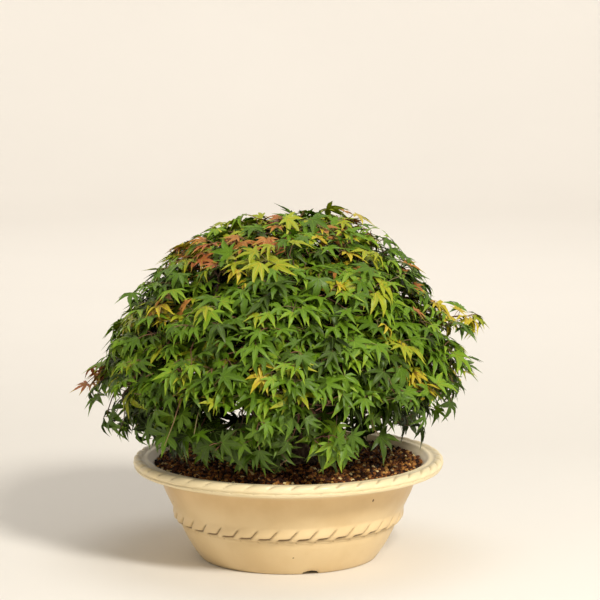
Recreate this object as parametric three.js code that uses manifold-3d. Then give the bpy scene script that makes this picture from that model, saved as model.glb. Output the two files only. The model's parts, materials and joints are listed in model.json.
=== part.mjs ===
// A dwarf maple bonsai with a dome of leaves, in a round cream pot with two rope mouldings.
// Millimetres, +Z up. The origin is on the pot's axis, on the flat underside of its foot.
// The pot's front, with the notch that shows, faces -Y.
import * as THREE from 'three';
import { mergeVertices } from 'three/addons/utils/BufferGeometryUtils.js';
import Module from 'manifold-3d';

const wasm = await Module();
wasm.setup();
const { Manifold, Mesh: Body } = wasm;

// ---- driving sizes ----
const GAP = 0.3;                 // clearance kept between pieces that meet
const FOOT_R = 68, FOOT_IN_R = 55, FOOT_RECESS = 4;
const DRAIN_R = 8, FLOOR_Z = 11;
const RIM_R = 119.2, RIM_IN_R = 109, RIM_Z = 78;
const SOIL_EDGE_Z = 73, SOIL_TOP_Z = 77, SOIL_SEAT_R = 30;
const NOTCHES = 3, NOTCH_AT = -75.5, NOTCH_W = 13, NOTCH_H = 3;
const RIM_STRANDS = 45, RIM_SWELL = 1.1, BELLY_STRANDS = 37, BELLY_SWELL = 0.9, ROPE_TURN = 0.5;

const TRUNK = { x: 4, y: -14, flare: 21, waist: 9.5, tip: 7, height: 46, leanX: -6, leanY: 8 };
const TRUNK_ROOTS = 5;

const CROWN = { x: -3, top: 271, wide: 138, radius: 149, hem: 70, tuck: 40, depth: 0.985 };
const HEM = { mean: 91, back: 12, right: 7, rise: 26 };
// The top mass, and the side masses round it like the gores of a dome: the radius and height
// of each one's site, which sets its space, and of its heart, where its core and twigs start.
const TIERS = [
  { name: 'side', count: 7, r: 100, z: 150, heartR: 86, heartZ: 160, turn: -90, bough: 4.6 },
  { name: 'top', count: 1, r: 0, z: 172, heartR: 0, heartZ: 205, turn: 0, bough: 4 },
];
const BOUGH_TIP = 2.4;
const CORE = { inset: 23, side: 1.5, reach: 84, clear: 40, topFrom: 180 };

const LEAF = { length: 36, thick: 1.8, droop: 0.06, root: 2.2, lift: 0.42 };
const TWIG = { root: 1.9, tip: 1.5, reach: 24, clear: 2.3 };
const THIRD = (2 * Math.PI) / 3;
const SPRIGS = [106, 420];       // places tried over the crown's outline, first and then to fill in
const FILL = { apart: 16, size: 0.7 };
const SEED = 20261;
// The furthest shoots: where the leading leaf ends, the way it points, and its face.
const SHOOTS = [
  { tip: [-163, -12, 134], dir: [-1, -0.1, -0.3], out: [-0.5, -0.1, 0.85] },
  { tip: [159, 14, 181], dir: [0.98, 0.1, -0.2], out: [0.5, 0.1, 0.85] },
  { tip: [20, -150, 128], dir: [0.1, -1, -0.5], out: [0, -0.75, 0.65] },
  { tip: [-24, 150, 140], dir: [-0.1, 1, -0.5], out: [0, 0.75, 0.65] },
  { tip: [24, -8, 272.5], dir: [0.9, 0.1, 0.2], out: [-0.2, 0, 1] },
];

const LOOKS = {
  glaze: { color: 0xe6cfa2, roughness: 0.35, metalness: 0 },
  soil: { color: 0x8a5533, roughness: 0.95, metalness: 0 },
  bark: { color: 0x5c4636, roughness: 0.9, metalness: 0 },
  leaf: { color: 0x4c8a2c, roughness: 0.6, metalness: 0 },
};

// ---- small helpers ----
const V = (x, y, z) => new THREE.Vector3(x, y, z);
const rad = THREE.MathUtils.degToRad;
const clamp = THREE.MathUtils.clamp;
const mix = THREE.MathUtils.lerp;

// A seeded stream of numbers from 0 to 1.
function stream(seed) {
  let s = seed >>> 0;
  return () => {
    s = (s + 0x6d2b79f5) >>> 0;
    let t = Math.imul(s ^ (s >>> 15), 1 | s);
    t = (t + Math.imul(t ^ (t >>> 7), 61 | t)) ^ t;
    return ((t ^ (t >>> 14)) >>> 0) / 4294967296;
  };
}

// A closed body from points and the corner numbers of its triangles.
function body(points, faces) {
  const vertProperties = new Float32Array(points.flatMap((p) => [p.x, p.y, p.z]));
  return new Manifold(new Body({ numProp: 3, vertProperties, triVerts: new Uint32Array(faces) }));
}

// A closed body from a three.js geometry.
function fromGeometry(geometry, weld = 1e-4) {
  const bare = new THREE.BufferGeometry();
  bare.setAttribute('position', geometry.getAttribute('position'));
  if (geometry.index) bare.setIndex(geometry.index);
  const merged = mergeVertices(bare, weld);
  const at = merged.getAttribute('position').array;
  return new Manifold(new Body({
    numProp: 3, vertProperties: new Float32Array(at), triVerts: new Uint32Array(merged.index.array),
  }));
}

// A hoop of n points about the Z axis. In a rope's hoops every other point swells out.
function hoop({ r, z, n, turn = 0, swell = 0, lie = 0 }) {
  return Array.from({ length: n }, (_, i) => {
    const a = ((i + turn) / n) * 2 * Math.PI;
    const out = i % 2 ? -swell : swell;
    const far = r + out * Math.cos(rad(lie));
    return V(far * Math.cos(a), far * Math.sin(a), z + out * Math.sin(rad(lie)));
  });
}

// The triangles between two hoops of any counts, whose points are taken in order of angle.
function stitch(low, high) {
  const faces = [];
  let i = 0, j = 0;
  while (i < low.n || j < high.n) {
    const step = j === high.n || (i < low.n
      && (i + 1 + (low.turn ?? 0)) / low.n <= (j + 1 + (high.turn ?? 0)) / high.n);
    const a = low.first + (i % low.n), b = high.first + (j % high.n);
    if (step) {
      if (low.n > 1) faces.push(a, low.first + ((i + 1) % low.n), b);
      i++;
    } else {
      if (high.n > 1) faces.push(a, high.first + ((j + 1) % high.n), b);
      j++;
    }
  }
  return faces;
}

// A body of hoops one after another, up the outside and down the inside.
function stack(hoops) {
  let first = 0;
  for (const h of hoops) { h.first = first; first += h.n; }
  const pairs = hoops.map((h, i) => [h, hoops[(i + 1) % hoops.length]]);
  if (hoops[0].n === 1) pairs.pop();
  return body(hoops.flatMap(hoop), pairs.flatMap(([low, high]) => stitch(low, high)));
}

// Rings of points with the same count, skinned and closed at both ends.
function loft(rings) {
  const n = rings[0].length;
  const faces = [];
  for (let k = 0; k + 1 < rings.length; k++) {
    for (let i = 0; i < n; i++) {
      const a = k * n + i, b = k * n + (i + 1) % n;
      faces.push(a, b, b + n, a, b + n, a + n);
    }
  }
  const last = (rings.length - 1) * n;
  for (let i = 1; i + 1 < n; i++) faces.push(0, i + 1, i, last, last + i, last + i + 1);
  return body(rings.flat(), faces);
}

// The ring of a limb: n corners round the centre, square to the way it runs.
function ring(centre, along, radius, n, swell = () => 1) {
  const ref = Math.abs(along.z) > 0.8 ? V(1, 0, 0) : V(0, 0, 1);
  const u = ref.clone().cross(along).normalize();
  const v = along.clone().cross(u);
  return Array.from({ length: n }, (_, i) => {
    const a = (i / n) * 2 * Math.PI;
    const r = radius * swell(a);
    return centre.clone().addScaledVector(u, Math.cos(a) * r).addScaledVector(v, Math.sin(a) * r);
  });
}

// One tapering limb along a curve. A steep one keeps every ring turned the same way.
function limb(curve, steps, n, radiusAt) {
  const overall = curve.getPoint(1).sub(curve.getPoint(0)).normalize();
  return loft(Array.from({ length: steps + 1 }, (_, k) => {
    const t = k / steps;
    const along = curve.getTangent(t);
    if (overall.z > 0.8) along.z = Math.max(along.z, 0.81);
    return ring(curve.getPoint(t), along.normalize(), radiusAt(t), n);
  }));
}

// The largest closed piece of a body, with sealed hollows filled and scraps dropped.
function largest(joined) {
  const pieces = joined.decompose().filter((p) => p.volume() > 0);
  return pieces.reduce((a, b) => (a.volume() > b.volume() ? a : b));
}

function toGeometry(joined) {
  const { vertProperties, triVerts } = joined.getMesh();
  const geometry = new THREE.BufferGeometry();
  geometry.setAttribute('position', new THREE.BufferAttribute(new Float32Array(vertProperties), 3));
  geometry.setIndex(new THREE.BufferAttribute(new Uint32Array(triVerts), 1));
  return mergeVertices(geometry, 1e-3);
}

// A body freed of slivers, and still one closed piece once points closer than a micron are one.
function wholePiece(joined, sliver = 0.01) {
  let piece = largest(largest(joined).simplify(sliver));
  for (let pass = 0; pass < 3; pass++) piece = largest(fromGeometry(toGeometry(piece), 1e-3));
  return piece;
}

function node(name, joined, look) {
  const mesh = new THREE.Mesh(toGeometry(joined), new THREE.MeshStandardMaterial(LOOKS[look]));
  mesh.name = name;
  return mesh;
}

// ---- pot and soil ----
const ring45 = (pairs) => pairs.map(([r, z]) => ({ r, z, n: RIM_STRANDS }));
const ring37 = (pairs) => pairs.map(([r, z]) => ({ r, z, n: BELLY_STRANDS }));
const POT_INSIDE = [[104, 73.4], [88.5, 50], [74, 22], [64, 12]];

// A rope moulding: hoops of two points a strand, each turned on a little from the last.
function rope(strands, swell, rows) {
  return rows.map(([r, z, lie], k) => ({ r, z, lie, swell, n: 2 * strands, turn: ROPE_TURN * k }));
}

// Half a bar with a round top, across the foot.
function notch(index) {
  const r = (NOTCH_W ** 2 / 4 + NOTCH_H ** 2) / (2 * NOTCH_H);
  const bar = new THREE.CylinderGeometry(r, r, 30, 20);
  bar.rotateZ(Math.PI / 2);
  bar.translate(FOOT_R - 2, 0, NOTCH_H - r);
  bar.rotateZ(rad(NOTCH_AT + (360 / NOTCHES) * index));
  return fromGeometry(bar);
}

function pot() {
  const blank = stack([
    ...ring37([[FOOT_R, 0], [75.5, 9.5], [81, 22.5], [84.1, 28.4]]),
    ...rope(BELLY_STRANDS, BELLY_SWELL, [[87.3, 31.4, -25], [89.4, 35.4, -25]]),
    ...ring37([[88.6, 38.2]]),
    ...ring45([[95.5, 52], [99, 61], [103.5, 66.5], [RIM_R - 2.2, 69.4], [RIM_R, 71.6]]),
    ...rope(RIM_STRANDS, RIM_SWELL,
      [[RIM_R + 0.3, 74, 10], [RIM_R - 2, 77.4, 55], [RIM_R - 5.6, 77.6, 100]]),
    ...ring45([[111.8, 77.2], [RIM_IN_R, RIM_Z], ...POT_INSIDE, [57, FLOOR_Z]]),
    { r: DRAIN_R, z: FLOOR_Z, n: 16 }, { r: DRAIN_R, z: FOOT_RECESS, n: 16 },
    ...ring37([[FOOT_IN_R, FOOT_RECESS], [FOOT_IN_R, 0]]),
  ]);
  return wholePiece(blank.subtract(Manifold.union(Array.from({ length: NOTCHES }, (_, i) => notch(i)))));
}

function soil() {
  const side = POT_INSIDE.slice(1).reverse().map(([r, z]) => [r - GAP * 1.3, z + GAP * 0.4]);
  return stack([
    { r: 0, z: FLOOR_Z + GAP, n: 1 },
    ...ring45([[57 - GAP, FLOOR_Z + GAP], ...side, [103 - GAP, SOIL_EDGE_Z], [70, SOIL_EDGE_Z + 2.4]]),
    { r: SOIL_SEAT_R, z: SOIL_TOP_Z, n: 24 }, { r: 0, z: SOIL_TOP_Z, n: 1 },
  ]);
}

// ---- trunk and boughs ----
const FOOT_Z = SOIL_TOP_Z + GAP;
const trunkCurve = new THREE.CatmullRomCurve3([
  V(TRUNK.x, TRUNK.y, FOOT_Z),
  V(TRUNK.x + 1, TRUNK.y + 1, FOOT_Z + TRUNK.height * 0.35),
  V(TRUNK.x + TRUNK.leanX * 0.4, TRUNK.y + TRUNK.leanY * 0.5, FOOT_Z + TRUNK.height * 0.7),
  V(TRUNK.x + TRUNK.leanX, TRUNK.y + TRUNK.leanY, FOOT_Z + TRUNK.height),
]);

// The trunk's radius: a flare over the foot, then an even taper to the fork.
function trunkRadius(t) {
  return mix(TRUNK.waist, TRUNK.tip, t) + (TRUNK.flare - TRUNK.waist) * Math.exp(-t / 0.13);
}

function trunk(extra = 0) {
  const steps = 9;
  return loft(Array.from({ length: steps + 1 }, (_, k) => {
    const t = (k / steps) ** 1.4;
    const lobes = 0.16 * Math.exp(-t / 0.2);
    const centre = trunkCurve.getPoint(t);
    if (extra && (k === 0 || k === steps)) centre.z += k ? extra : -extra;
    return ring(centre, V(0, 0, 1), trunkRadius(t) + extra, 15,
      (a) => 1 + lobes * Math.cos(TRUNK_ROOTS * a + 0.6));
  }));
}

// ---- the crown's outline ----
// The crown's radius at a height: a full dome that tucks in below its widest part.
function crownRadius(z) {
  if (z >= CROWN.wide) {
    const t = clamp((z - CROWN.wide) / (CROWN.top - CROWN.wide), 0, 1);
    return CROWN.radius * Math.sqrt(1 - t ** 1.5);
  }
  return CROWN.radius - CROWN.tuck * ((CROWN.wide - z) / (CROWN.wide - CROWN.hem)) ** 1.2;
}

// The height of the crown's underside over a point: lowest in front and on the left.
function hemHeight(x, y) {
  const r = Math.hypot(x - CROWN.x, y);
  const lean = r < 1 ? 0 : (HEM.back * y + HEM.right * (x - CROWN.x)) / r;
  return HEM.mean + lean + HEM.rise * Math.max(0, 1 - (r / 118) ** 2);
}

function insideCrown(p, margin = 0) {
  if (p.z > CROWN.top - margin || p.z < hemHeight(p.x, p.y) + margin) return false;
  return Math.hypot(p.x - CROWN.x, p.y / CROWN.depth) < crownRadius(p.z) - margin;
}

// How far a ray can run from a point before it leaves the crown.
function crownDistance(from, dir) {
  let lo = 0, hi = 320;
  for (let i = 0; i < 24; i++) {
    const mid = (lo + hi) / 2;
    if (insideCrown(from.clone().addScaledVector(dir, mid))) lo = mid;
    else hi = mid;
  }
  return lo;
}

// The way out of the crown at a point of its outline.
function crownNormal(p) {
  const reach = Math.hypot(p.x - CROWN.x, p.y);
  const slope = (crownRadius(p.z + 2) - crownRadius(p.z - 2)) / 4;
  const flat = V(p.x - CROWN.x, p.y, 0).divideScalar(Math.max(reach, 1));
  return flat.add(V(0, 0, clamp(-slope, -0.5, 6))).normalize();
}

// ---- masses: each keeps to the space nearer its own site than any other ----
const around = (r, angle, z) => V(CROWN.x * 0.6 + r * Math.cos(angle), r * Math.sin(angle), z);
const MASSES = TIERS.flatMap((tier) => Array.from({ length: tier.count }, (_, index) => {
  const angle = rad(tier.turn + (360 / tier.count) * index);
  return {
    name: tier.count > 1 ? `${tier.name}_${index + 1}` : tier.name, tier, angle, index,
    site: around(tier.r, angle, tier.z), heart: around(tier.heartR, angle, tier.heartZ),
  };
}));

// How far a point lies inside a mass's space: the least distance to the planes that bound it.
function ownSpace(mass, p) {
  let least = Infinity;
  for (const other of MASSES) {
    if (other === mass) continue;
    const away = other.site.clone().sub(mass.site);
    const half = away.length() / 2;
    least = Math.min(least, half - p.clone().sub(mass.site).dot(away.normalize()));
  }
  return least;
}

function massOf(p) {
  return MASSES.reduce((a, b) => (a.site.distanceTo(p) < b.site.distanceTo(p) ? a : b));
}

// A core keeps inside its mass's space and well inside the outline, and leaves room for boughs.
function coreRoom(mass, p) {
  if (ownSpace(mass, p) < CORE.side || !insideCrown(p)) return false;
  if (mass.tier.r ? Math.hypot(p.x - CROWN.x, p.y) < CORE.clear : p.z < CORE.topFrom) return false;
  if (p.z < hemHeight(p.x, p.y) + CORE.inset * 0.6) return false;
  return insideCrown(p.clone().addScaledVector(crownNormal(p), CORE.inset));
}

// A mass's core: a faceted ball stretched to fill its room.
function coreBody(mass) {
  const ball = mergeVertices(new THREE.IcosahedronGeometry(1, 1).deleteAttribute('normal')
    .deleteAttribute('uv'), 1e-4);
  const at = ball.getAttribute('position');
  const points = Array.from({ length: at.count }, (_, i) => {
    const dir = V(0, 0, 0).fromBufferAttribute(at, i).normalize();
    let far = CORE.reach;
    while (far > 5 && !coreRoom(mass, mass.heart.clone().addScaledVector(dir, far))) far -= 1;
    return mass.heart.clone().addScaledVector(dir, far);
  });
  return body(points, ball.index.array);
}

// A bough's root in the trunk, low for every other side bough, and its tip short of the core.
function boughEnds(mass) {
  const share = mass.tier.r ? 0.72 - (mass.index % 3) * 0.15 : 1;
  const root = trunkCurve.getPoint(share);
  const toward = mass.heart.clone().sub(root);
  const reach = toward.length();
  const along = toward.normalize();
  let stop = reach;
  while (stop > 8 && coreRoom(mass, root.clone().addScaledVector(along, stop))) stop -= 1;
  return { root, tip: root.clone().addScaledVector(along, stop - 4) };
}

function boughCurve(mass) {
  const { root, tip } = boughEnds(mass);
  const sag = mass.tier.r ? V(Math.cos(mass.angle), Math.sin(mass.angle), 0) : V(0.35, 0.3, 0);
  const mid = root.clone().lerp(tip, 0.5).addScaledVector(sag, 5);
  return new THREE.CatmullRomCurve3([root, mid, tip]);
}

function boughRadius(mass, t) {
  return mix(mass.tier.bough, BOUGH_TIP, t ** 0.8);
}

function boughs() {
  let keepOut = trunk(GAP);
  const made = [];
  for (const mass of MASSES) {
    const curve = boughCurve(mass);
    const full = limb(curve, 5, 6, (t) => boughRadius(mass, t));
    const grown = limb(curve, 5, 6, (t) => boughRadius(mass, t) + GAP * 1.2);
    made.push({ mass, curve, body: wholePiece(full.subtract(keepOut)) });
    keepOut = keepOut.add(grown);
  }
  return { made, keepOut };
}

// ---- leaves and twigs ----
// Half a leaf's outline from its root to its tip, as shares of its length along and across:
// basal lobe, notch, side lobe, notch. The last number is 1 where the outline droops.
const HALF_LEAF = [[0.27, 0.34, 0], [0.39, 0.19, 0], [0.73, 0.42, 1], [0.56, 0.1, 0]];
const LEAF_EYE = 0.34;           // where the veins meet
const SPIKE = [0, 2, 1, 0, 1, 3, 1, 2, 3, 2, 0, 3];  // the faces of a point on a triangle

// A leaf's points past its root: right side, tip, left side, and the raised eye.
function leafPoints(root, dir, face, length) {
  const across = face.clone().cross(dir);
  const place = (x, y, z) => root.clone().addScaledVector(dir, x * length)
    .addScaledVector(across, y * length).addScaledVector(face, z);
  const drop = -LEAF.droop * length;
  const right = HALF_LEAF.map(([x, y, tip]) => place(x, -y, tip * drop));
  const left = HALF_LEAF.map(([x, y, tip]) => place(x, y, tip * drop)).reverse();
  return [...right, place(1, 0, drop), ...left, place(LEAF_EYE, 0, LEAF.thick)];
}

// The fan round the eye, on top of a leaf whose own points start at p.
function leafTop(right, left, p) {
  const rim = [right, ...Array.from({ length: 9 }, (_, i) => p + i), left];
  return rim.flatMap((v, i) => [v, rim[(i + 1) % rim.length], p + 9]);
}

// The five lobes and the part they share, under a leaf.
function leafUnder(right, left, p) {
  return [right, p + 1, p, p + 1, p + 3, p + 2, p + 3, p + 5, p + 4, p + 5, p + 7, p + 6,
    p + 7, left, p + 8, p + 1, p + 7, p + 3, p + 7, p + 5, p + 3];
}

// A leaf off the side of a twig: low and high corners of its root on the right and the left.
function sideLeafFaces(lowR, lowL, topL, topR, p) {
  return [...leafTop(topR, topL, p), ...leafUnder(lowR, lowL, p), lowR, lowL, p + 1,
    lowL, p + 7, p + 1, lowR, p, topR, lowL, topL, p + 8];
}

// A leaf off the end of a twig, over its front corner.
function endLeafFaces(front, left, right, p) {
  return [...leafTop(right, left, p), ...leafUnder(right, left, p),
    right, front, p + 1, front, p + 7, p + 1, front, left, p + 7];
}

// The ring corners of a sprig: at its base, and under and over its end.
function sprigCorners(base, end, frame) {
  const levels = [[base, TWIG.root, 0], [end, TWIG.tip, -LEAF.root / 2], [end, TWIG.tip, LEAF.root / 2]];
  return levels.flatMap(([centre, radius, rise]) => [0, 1, 2].map((k) => centre.clone()
    .addScaledVector(frame.e1, Math.cos(k * THIRD) * radius)
    .addScaledVector(frame.e2, Math.sin(k * THIRD) * radius).addScaledVector(frame.out, rise)));
}

// A sprig: a three-sided twig, a leaf on each side of its end that has one, and one on top.
function sprigBody(corners, leaves) {
  const points = [...corners];
  const faces = [0, 2, 1];
  for (let k = 0; k < 3; k++) {
    const n = (k + 1) % 3;
    faces.push(k, n, n + 3, k, n + 3, k + 3);
    if (leaves[k]) faces.push(...sideLeafFaces(k + 3, n + 3, n + 6, k + 6, points.length));
    else faces.push(k + 3, n + 3, n + 6, k + 3, n + 6, k + 6);
    points.push(...(leaves[k] ?? []));
  }
  faces.push(...endLeafFaces(6, 7, 8, points.length));
  return body([...points, ...leaves[3]], faces);
}

// One leaf of a sprig as a closed body of its own, to try against what is near it.
function leafProbe(corners, k, points) {
  if (k === 3) {
    return body([...corners.slice(6), ...points], [...endLeafFaces(0, 1, 2, 3), 0, 2, 1]);
  }
  const n = (k + 1) % 3;
  const root = [corners[k + 3], corners[n + 3], corners[n + 6], corners[k + 6]];
  return body([...root, ...points], [...sideLeafFaces(0, 1, 2, 3, 4), 1, 0, 3, 1, 3, 2]);
}

// The twig of a sprig as a closed body, to try against the leaves already there.
function twigProbe(corners) {
  return loft([corners.slice(0, 3), corners.slice(6)]);
}

function turnAbout(vector, axis, angle) {
  return vector.clone().applyAxisAngle(axis, angle);
}

function meets(a, b) {
  const p = a.boundingBox(), q = b.boundingBox();
  if ([0, 1, 2].some((k) => p.min[k] > q.max[k] || q.min[k] > p.max[k])) return false;
  return a.intersect(b).numTri() > 0;
}

// The k-th leaf of a sprig, turned a little from its place, or null where it doesn't fit:
// it stays in its mass's space and crosses no limb, core or other leaf.
function tryLeaf(mass, corners, frame, k, turn, lift, length, limits, free) {
  const at = k * THIRD + THIRD / 2;
  const way = turnAbout(frame.e1, frame.out, k === 3 ? turn : at + turn);
  const dir = way.addScaledVector(frame.out, lift).normalize();
  const face = frame.out.clone().addScaledVector(dir, -frame.out.dot(dir)).normalize();
  const root = frame.end.clone();
  if (k === 3) root.addScaledVector(frame.out, LEAF.root / 2);
  const points = leafPoints(root, dir, face, length);
  if (!points.every((p) => ownSpace(mass, p) > GAP * 0.6 && (free || insideCrown(p)))) return null;
  const probe = leafProbe(corners, k, points);
  return [limits, mass.core, ...mass.probes].some((o) => meets(probe, o)) ? null : { points, probe };
}

// The way down the crown's side, or any way on its top.
function downhill(out, random) {
  const fall = V(0, 0, -1).addScaledVector(out, out.z);
  const any = V(random() - 0.5, random() - 0.5, 0);
  if (fall.length() < 0.4) fall.add(any.addScaledVector(out, -any.dot(out)).multiplyScalar(2));
  return fall.normalize();
}

// A sprig's frame for a leading leaf of one length whose tip is at a point.
function frameFor(tip, e1, out, length) {
  const lead = e1.clone().addScaledVector(out, LEAF.lift).normalize();
  const end = tip.clone().addScaledVector(lead, -length).addScaledVector(out, LEAF.droop * length * 0.9);
  return { e1, e2: out.clone().cross(e1), out, end: end.addScaledVector(out, -LEAF.root / 2) };
}

// The other leaves of a sprig: tried at several turns, fewer of them on the crown's sides.
function addSideLeaves(sprig, random, limits) {
  const { mass, corners, frame, length } = sprig;
  for (const k of [0, 2, 1]) {
    if (k === 1 && frame.out.z < 0.5 && random() < 0.6) continue;
    for (let attempt = 0; attempt < 12 && !sprig.leaves[k]; attempt++) {
      const turn = (random() - 0.5) * rad(30 + 7 * attempt);
      const size = length * (k === 1 ? 0.86 : 0.97) * (1 - 0.02 * attempt);
      const lift = LEAF.lift * (0.75 - 0.06 * attempt);
      const found = tryLeaf(mass, corners, frame, k, turn, lift, size, limits);
      if (!found) continue;
      sprig.leaves[k] = found.points;
      mass.probes.push(found.probe);
    }
  }
}

// A sprig's twig: straight up from the core where its root sinks in, or else from near the heart.
function tryTwig(mass, frame, fixed) {
  const straight = frame.end.clone().addScaledVector(frame.out, -TWIG.reach);
  for (const base of [straight, mass.heart.clone().lerp(frame.end, 0.3)]) {
    if (ownSpace(mass, base) < TWIG.clear) continue;
    const corners = sprigCorners(base, frame.end, frame);
    const spike = body([...corners.slice(0, 3), base.clone().lerp(frame.end, 0.4)], SPIKE);
    if (base === straight && !meets(spike, mass.core)) continue;
    const twig = twigProbe(corners);
    if (fixed || !mass.probes.some((probe) => meets(twig, probe))) return { corners, twig };
  }
  return null;
}

// A sprig whose leading leaf ends on the outline at a point, or nothing where none fits.
function growSprig(tip, out, random, limits, { fixed, size = 1 } = {}) {
  for (let attempt = 0; attempt < (fixed ? 1 : 30); attempt++) {
    const swing = (random() - 0.5) * rad(30 + 11 * attempt);
    const e1 = fixed ?? turnAbout(downhill(out, random), out, swing);
    const length = LEAF.length * size * (fixed ? 1 : (0.93 + 0.14 * random()) * (1 - 0.01 * attempt));
    const frame = frameFor(tip.clone().addScaledVector(out, -0.35 * attempt), e1, out, length);
    const mass = massOf(frame.end);
    if (ownSpace(mass, frame.end) < TWIG.clear) continue;
    const found = tryTwig(mass, frame, fixed);
    if (!found) continue;
    const { corners, twig } = found;
    const lead = tryLeaf(mass, corners, frame, 3, 0, LEAF.lift, length, limits, fixed);
    if (!lead) continue;
    mass.probes.push(lead.probe);
    const sprig = { mass, corners, frame, length, leaves: [null, null, null, lead.points] };
    addSideLeaves(sprig, random, limits);
    mass.probes.push(twig);
    mass.sprigs.push(sprig);
    return;
  }
}

// Whether the outline is bare round a point: no leaf of its own mass has its eye or tip near it.
function isBare(tip) {
  return massOf(tip).sprigs.every((sprig) => sprig.leaves.every((leaf) =>
    !leaf || [leaf[9], leaf[4]].every((p) => p.distanceTo(tip) > FILL.apart)));
}

// Points spread evenly over the outline, seen from the middle of the crown.
function outlinePoints(count) {
  const middle = V(CROWN.x, 0, 128);
  const golden = Math.PI * (3 - Math.sqrt(5));
  return Array.from({ length: count }, (_, k) => {
    const z = mix(0.995, -0.4, (k + 0.5) / count);
    const flat = Math.sqrt(1 - z * z);
    const dir = V(flat * Math.cos(golden * k), flat * Math.sin(golden * k), z);
    return middle.clone().addScaledVector(dir, crownDistance(middle, dir) - 0.5);
  });
}

// One mass: a stem off the bough's tip, its core, and the sprigs that stand out of it.
function massBody(mass, curve, limits) {
  const way = curve.getTangent(1);
  const start = curve.getPoint(1).addScaledVector(way, GAP);
  const stem = loft([ring(start, way, BOUGH_TIP, 5), ring(mass.heart, way, TWIG.root, 5)]);
  const sprigs = mass.sprigs.map((sprig) => sprigBody(sprig.corners, sprig.leaves));
  return wholePiece(Manifold.union([stem, mass.core, ...sprigs]).subtract(limits), 0.03);
}

// The furthest shoots first, then a sprig for each point of the outline.
function growCrown(limits) {
  const random = stream(SEED);
  for (const mass of MASSES) Object.assign(mass, { core: coreBody(mass), probes: [], sprigs: [] });
  for (const { tip, dir, out } of SHOOTS) {
    const face = V(...out).normalize();
    const e1 = V(...dir).addScaledVector(face, -face.dot(V(...dir))).normalize();
    growSprig(V(...tip), face, random, limits, { fixed: e1 });
  }
  for (const tip of outlinePoints(SPRIGS[0])) growSprig(tip, crownNormal(tip), random, limits);
  for (const tip of outlinePoints(SPRIGS[1])) {
    if (isBare(tip)) growSprig(tip, crownNormal(tip), random, limits, { size: FILL.size });
  }
}

function plant() {
  const { made, keepOut } = boughs();
  growCrown(keepOut);
  const group = new THREE.Group();
  group.name = 'plant';
  group.add(node('trunk', trunk(), 'bark'));
  for (const { mass, body: limbBody } of made) group.add(node(`bough_${mass.name}`, limbBody, 'bark'));
  for (const { mass, curve } of made) {
    group.add(node(`mass_${mass.name}`, massBody(mass, curve, keepOut), 'leaf'));
  }
  return group;
}

const part = new THREE.Group();
part.name = 'potted_maple_bonsai';
part.add(node('pot', pot(), 'glaze'), node('soil', soil(), 'soil'), plant());
export default part;
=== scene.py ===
"""A dwarf maple bonsai in a round cream pot: the finished surfaces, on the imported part.

Metres, +Z up. The pot's axis is the Z axis, its foot stands on Z = 0, and its front faces -Y.
"""

import json
import math

import bpy
import numpy as np
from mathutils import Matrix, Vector

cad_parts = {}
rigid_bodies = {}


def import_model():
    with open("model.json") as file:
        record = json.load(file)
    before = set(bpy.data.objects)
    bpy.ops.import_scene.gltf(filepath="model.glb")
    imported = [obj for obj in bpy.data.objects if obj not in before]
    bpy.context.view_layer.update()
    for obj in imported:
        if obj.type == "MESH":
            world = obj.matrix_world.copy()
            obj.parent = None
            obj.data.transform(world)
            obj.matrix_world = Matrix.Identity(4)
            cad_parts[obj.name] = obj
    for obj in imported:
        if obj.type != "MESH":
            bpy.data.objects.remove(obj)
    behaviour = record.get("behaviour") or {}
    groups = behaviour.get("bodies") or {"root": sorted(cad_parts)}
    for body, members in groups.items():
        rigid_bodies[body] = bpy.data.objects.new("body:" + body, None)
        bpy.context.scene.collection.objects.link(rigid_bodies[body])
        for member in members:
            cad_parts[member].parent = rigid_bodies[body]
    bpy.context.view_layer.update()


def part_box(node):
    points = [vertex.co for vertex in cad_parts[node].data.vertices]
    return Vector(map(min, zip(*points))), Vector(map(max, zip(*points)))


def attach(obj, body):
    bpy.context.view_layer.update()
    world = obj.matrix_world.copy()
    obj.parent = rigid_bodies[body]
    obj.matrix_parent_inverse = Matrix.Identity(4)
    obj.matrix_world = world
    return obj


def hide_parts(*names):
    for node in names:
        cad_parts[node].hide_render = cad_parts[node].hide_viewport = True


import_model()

# ---- driving sizes, in metres ----
MM = 0.001
SEED = 20261
THIRD = 2 * math.pi / 3

RIM_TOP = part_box("pot")[1].z              # the top of the rim's rope
RIM_STRANDS = 45
BELLY_STRANDS = 37
ROPE_SWELL = 1.5 * MM                     # how far a strand rises in its middle
ROPE_CUT = 1.4 * MM                       # how deep the cuts between strands go
POT_COLUMNS = 740                         # steps round the pot
FOOT_R = 68 * MM
NOTCH_TURN = math.radians(360 - 75.5)     # where the first of the foot's three notches is
NOTCH_HALF, NOTCH_HEIGHT = 6.5 * MM, 3 * MM

SOIL_EDGE_R, SOIL_EDGE_Z = 103 * MM, 73 * MM
SOIL_TOP_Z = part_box("soil")[1].z
GRAIN = 3.3 * MM                          # a granule's usual width
GRAINS = 4300                             # granules asked for; fewer fit
GRAIN_CLOSEST = 0.42                      # how near two granules' middles may be, by their width
LUMPS = 2.6 * MM                          # how far noise pushes a granule's points

TRUNK_FOOT = np.array([4, -14, 77.3]) * MM
TRUNK_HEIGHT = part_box("trunk")[1].z - TRUNK_FOOT[2]
TRUNK_LEAN = np.array([-6, 8, 0]) * MM
TRUNK_FLARE, TRUNK_WAIST, TRUNK_TIP = 21 * MM, 9.5 * MM, 7 * MM
TRUNK_ROOTS = 5
TRUNK_RELIEF = {"Depth": 0.55 * MM, "Scale": 210.0}
BOUGH_RELIEF = {"Depth": 0.28 * MM, "Scale": 420.0}

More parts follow.
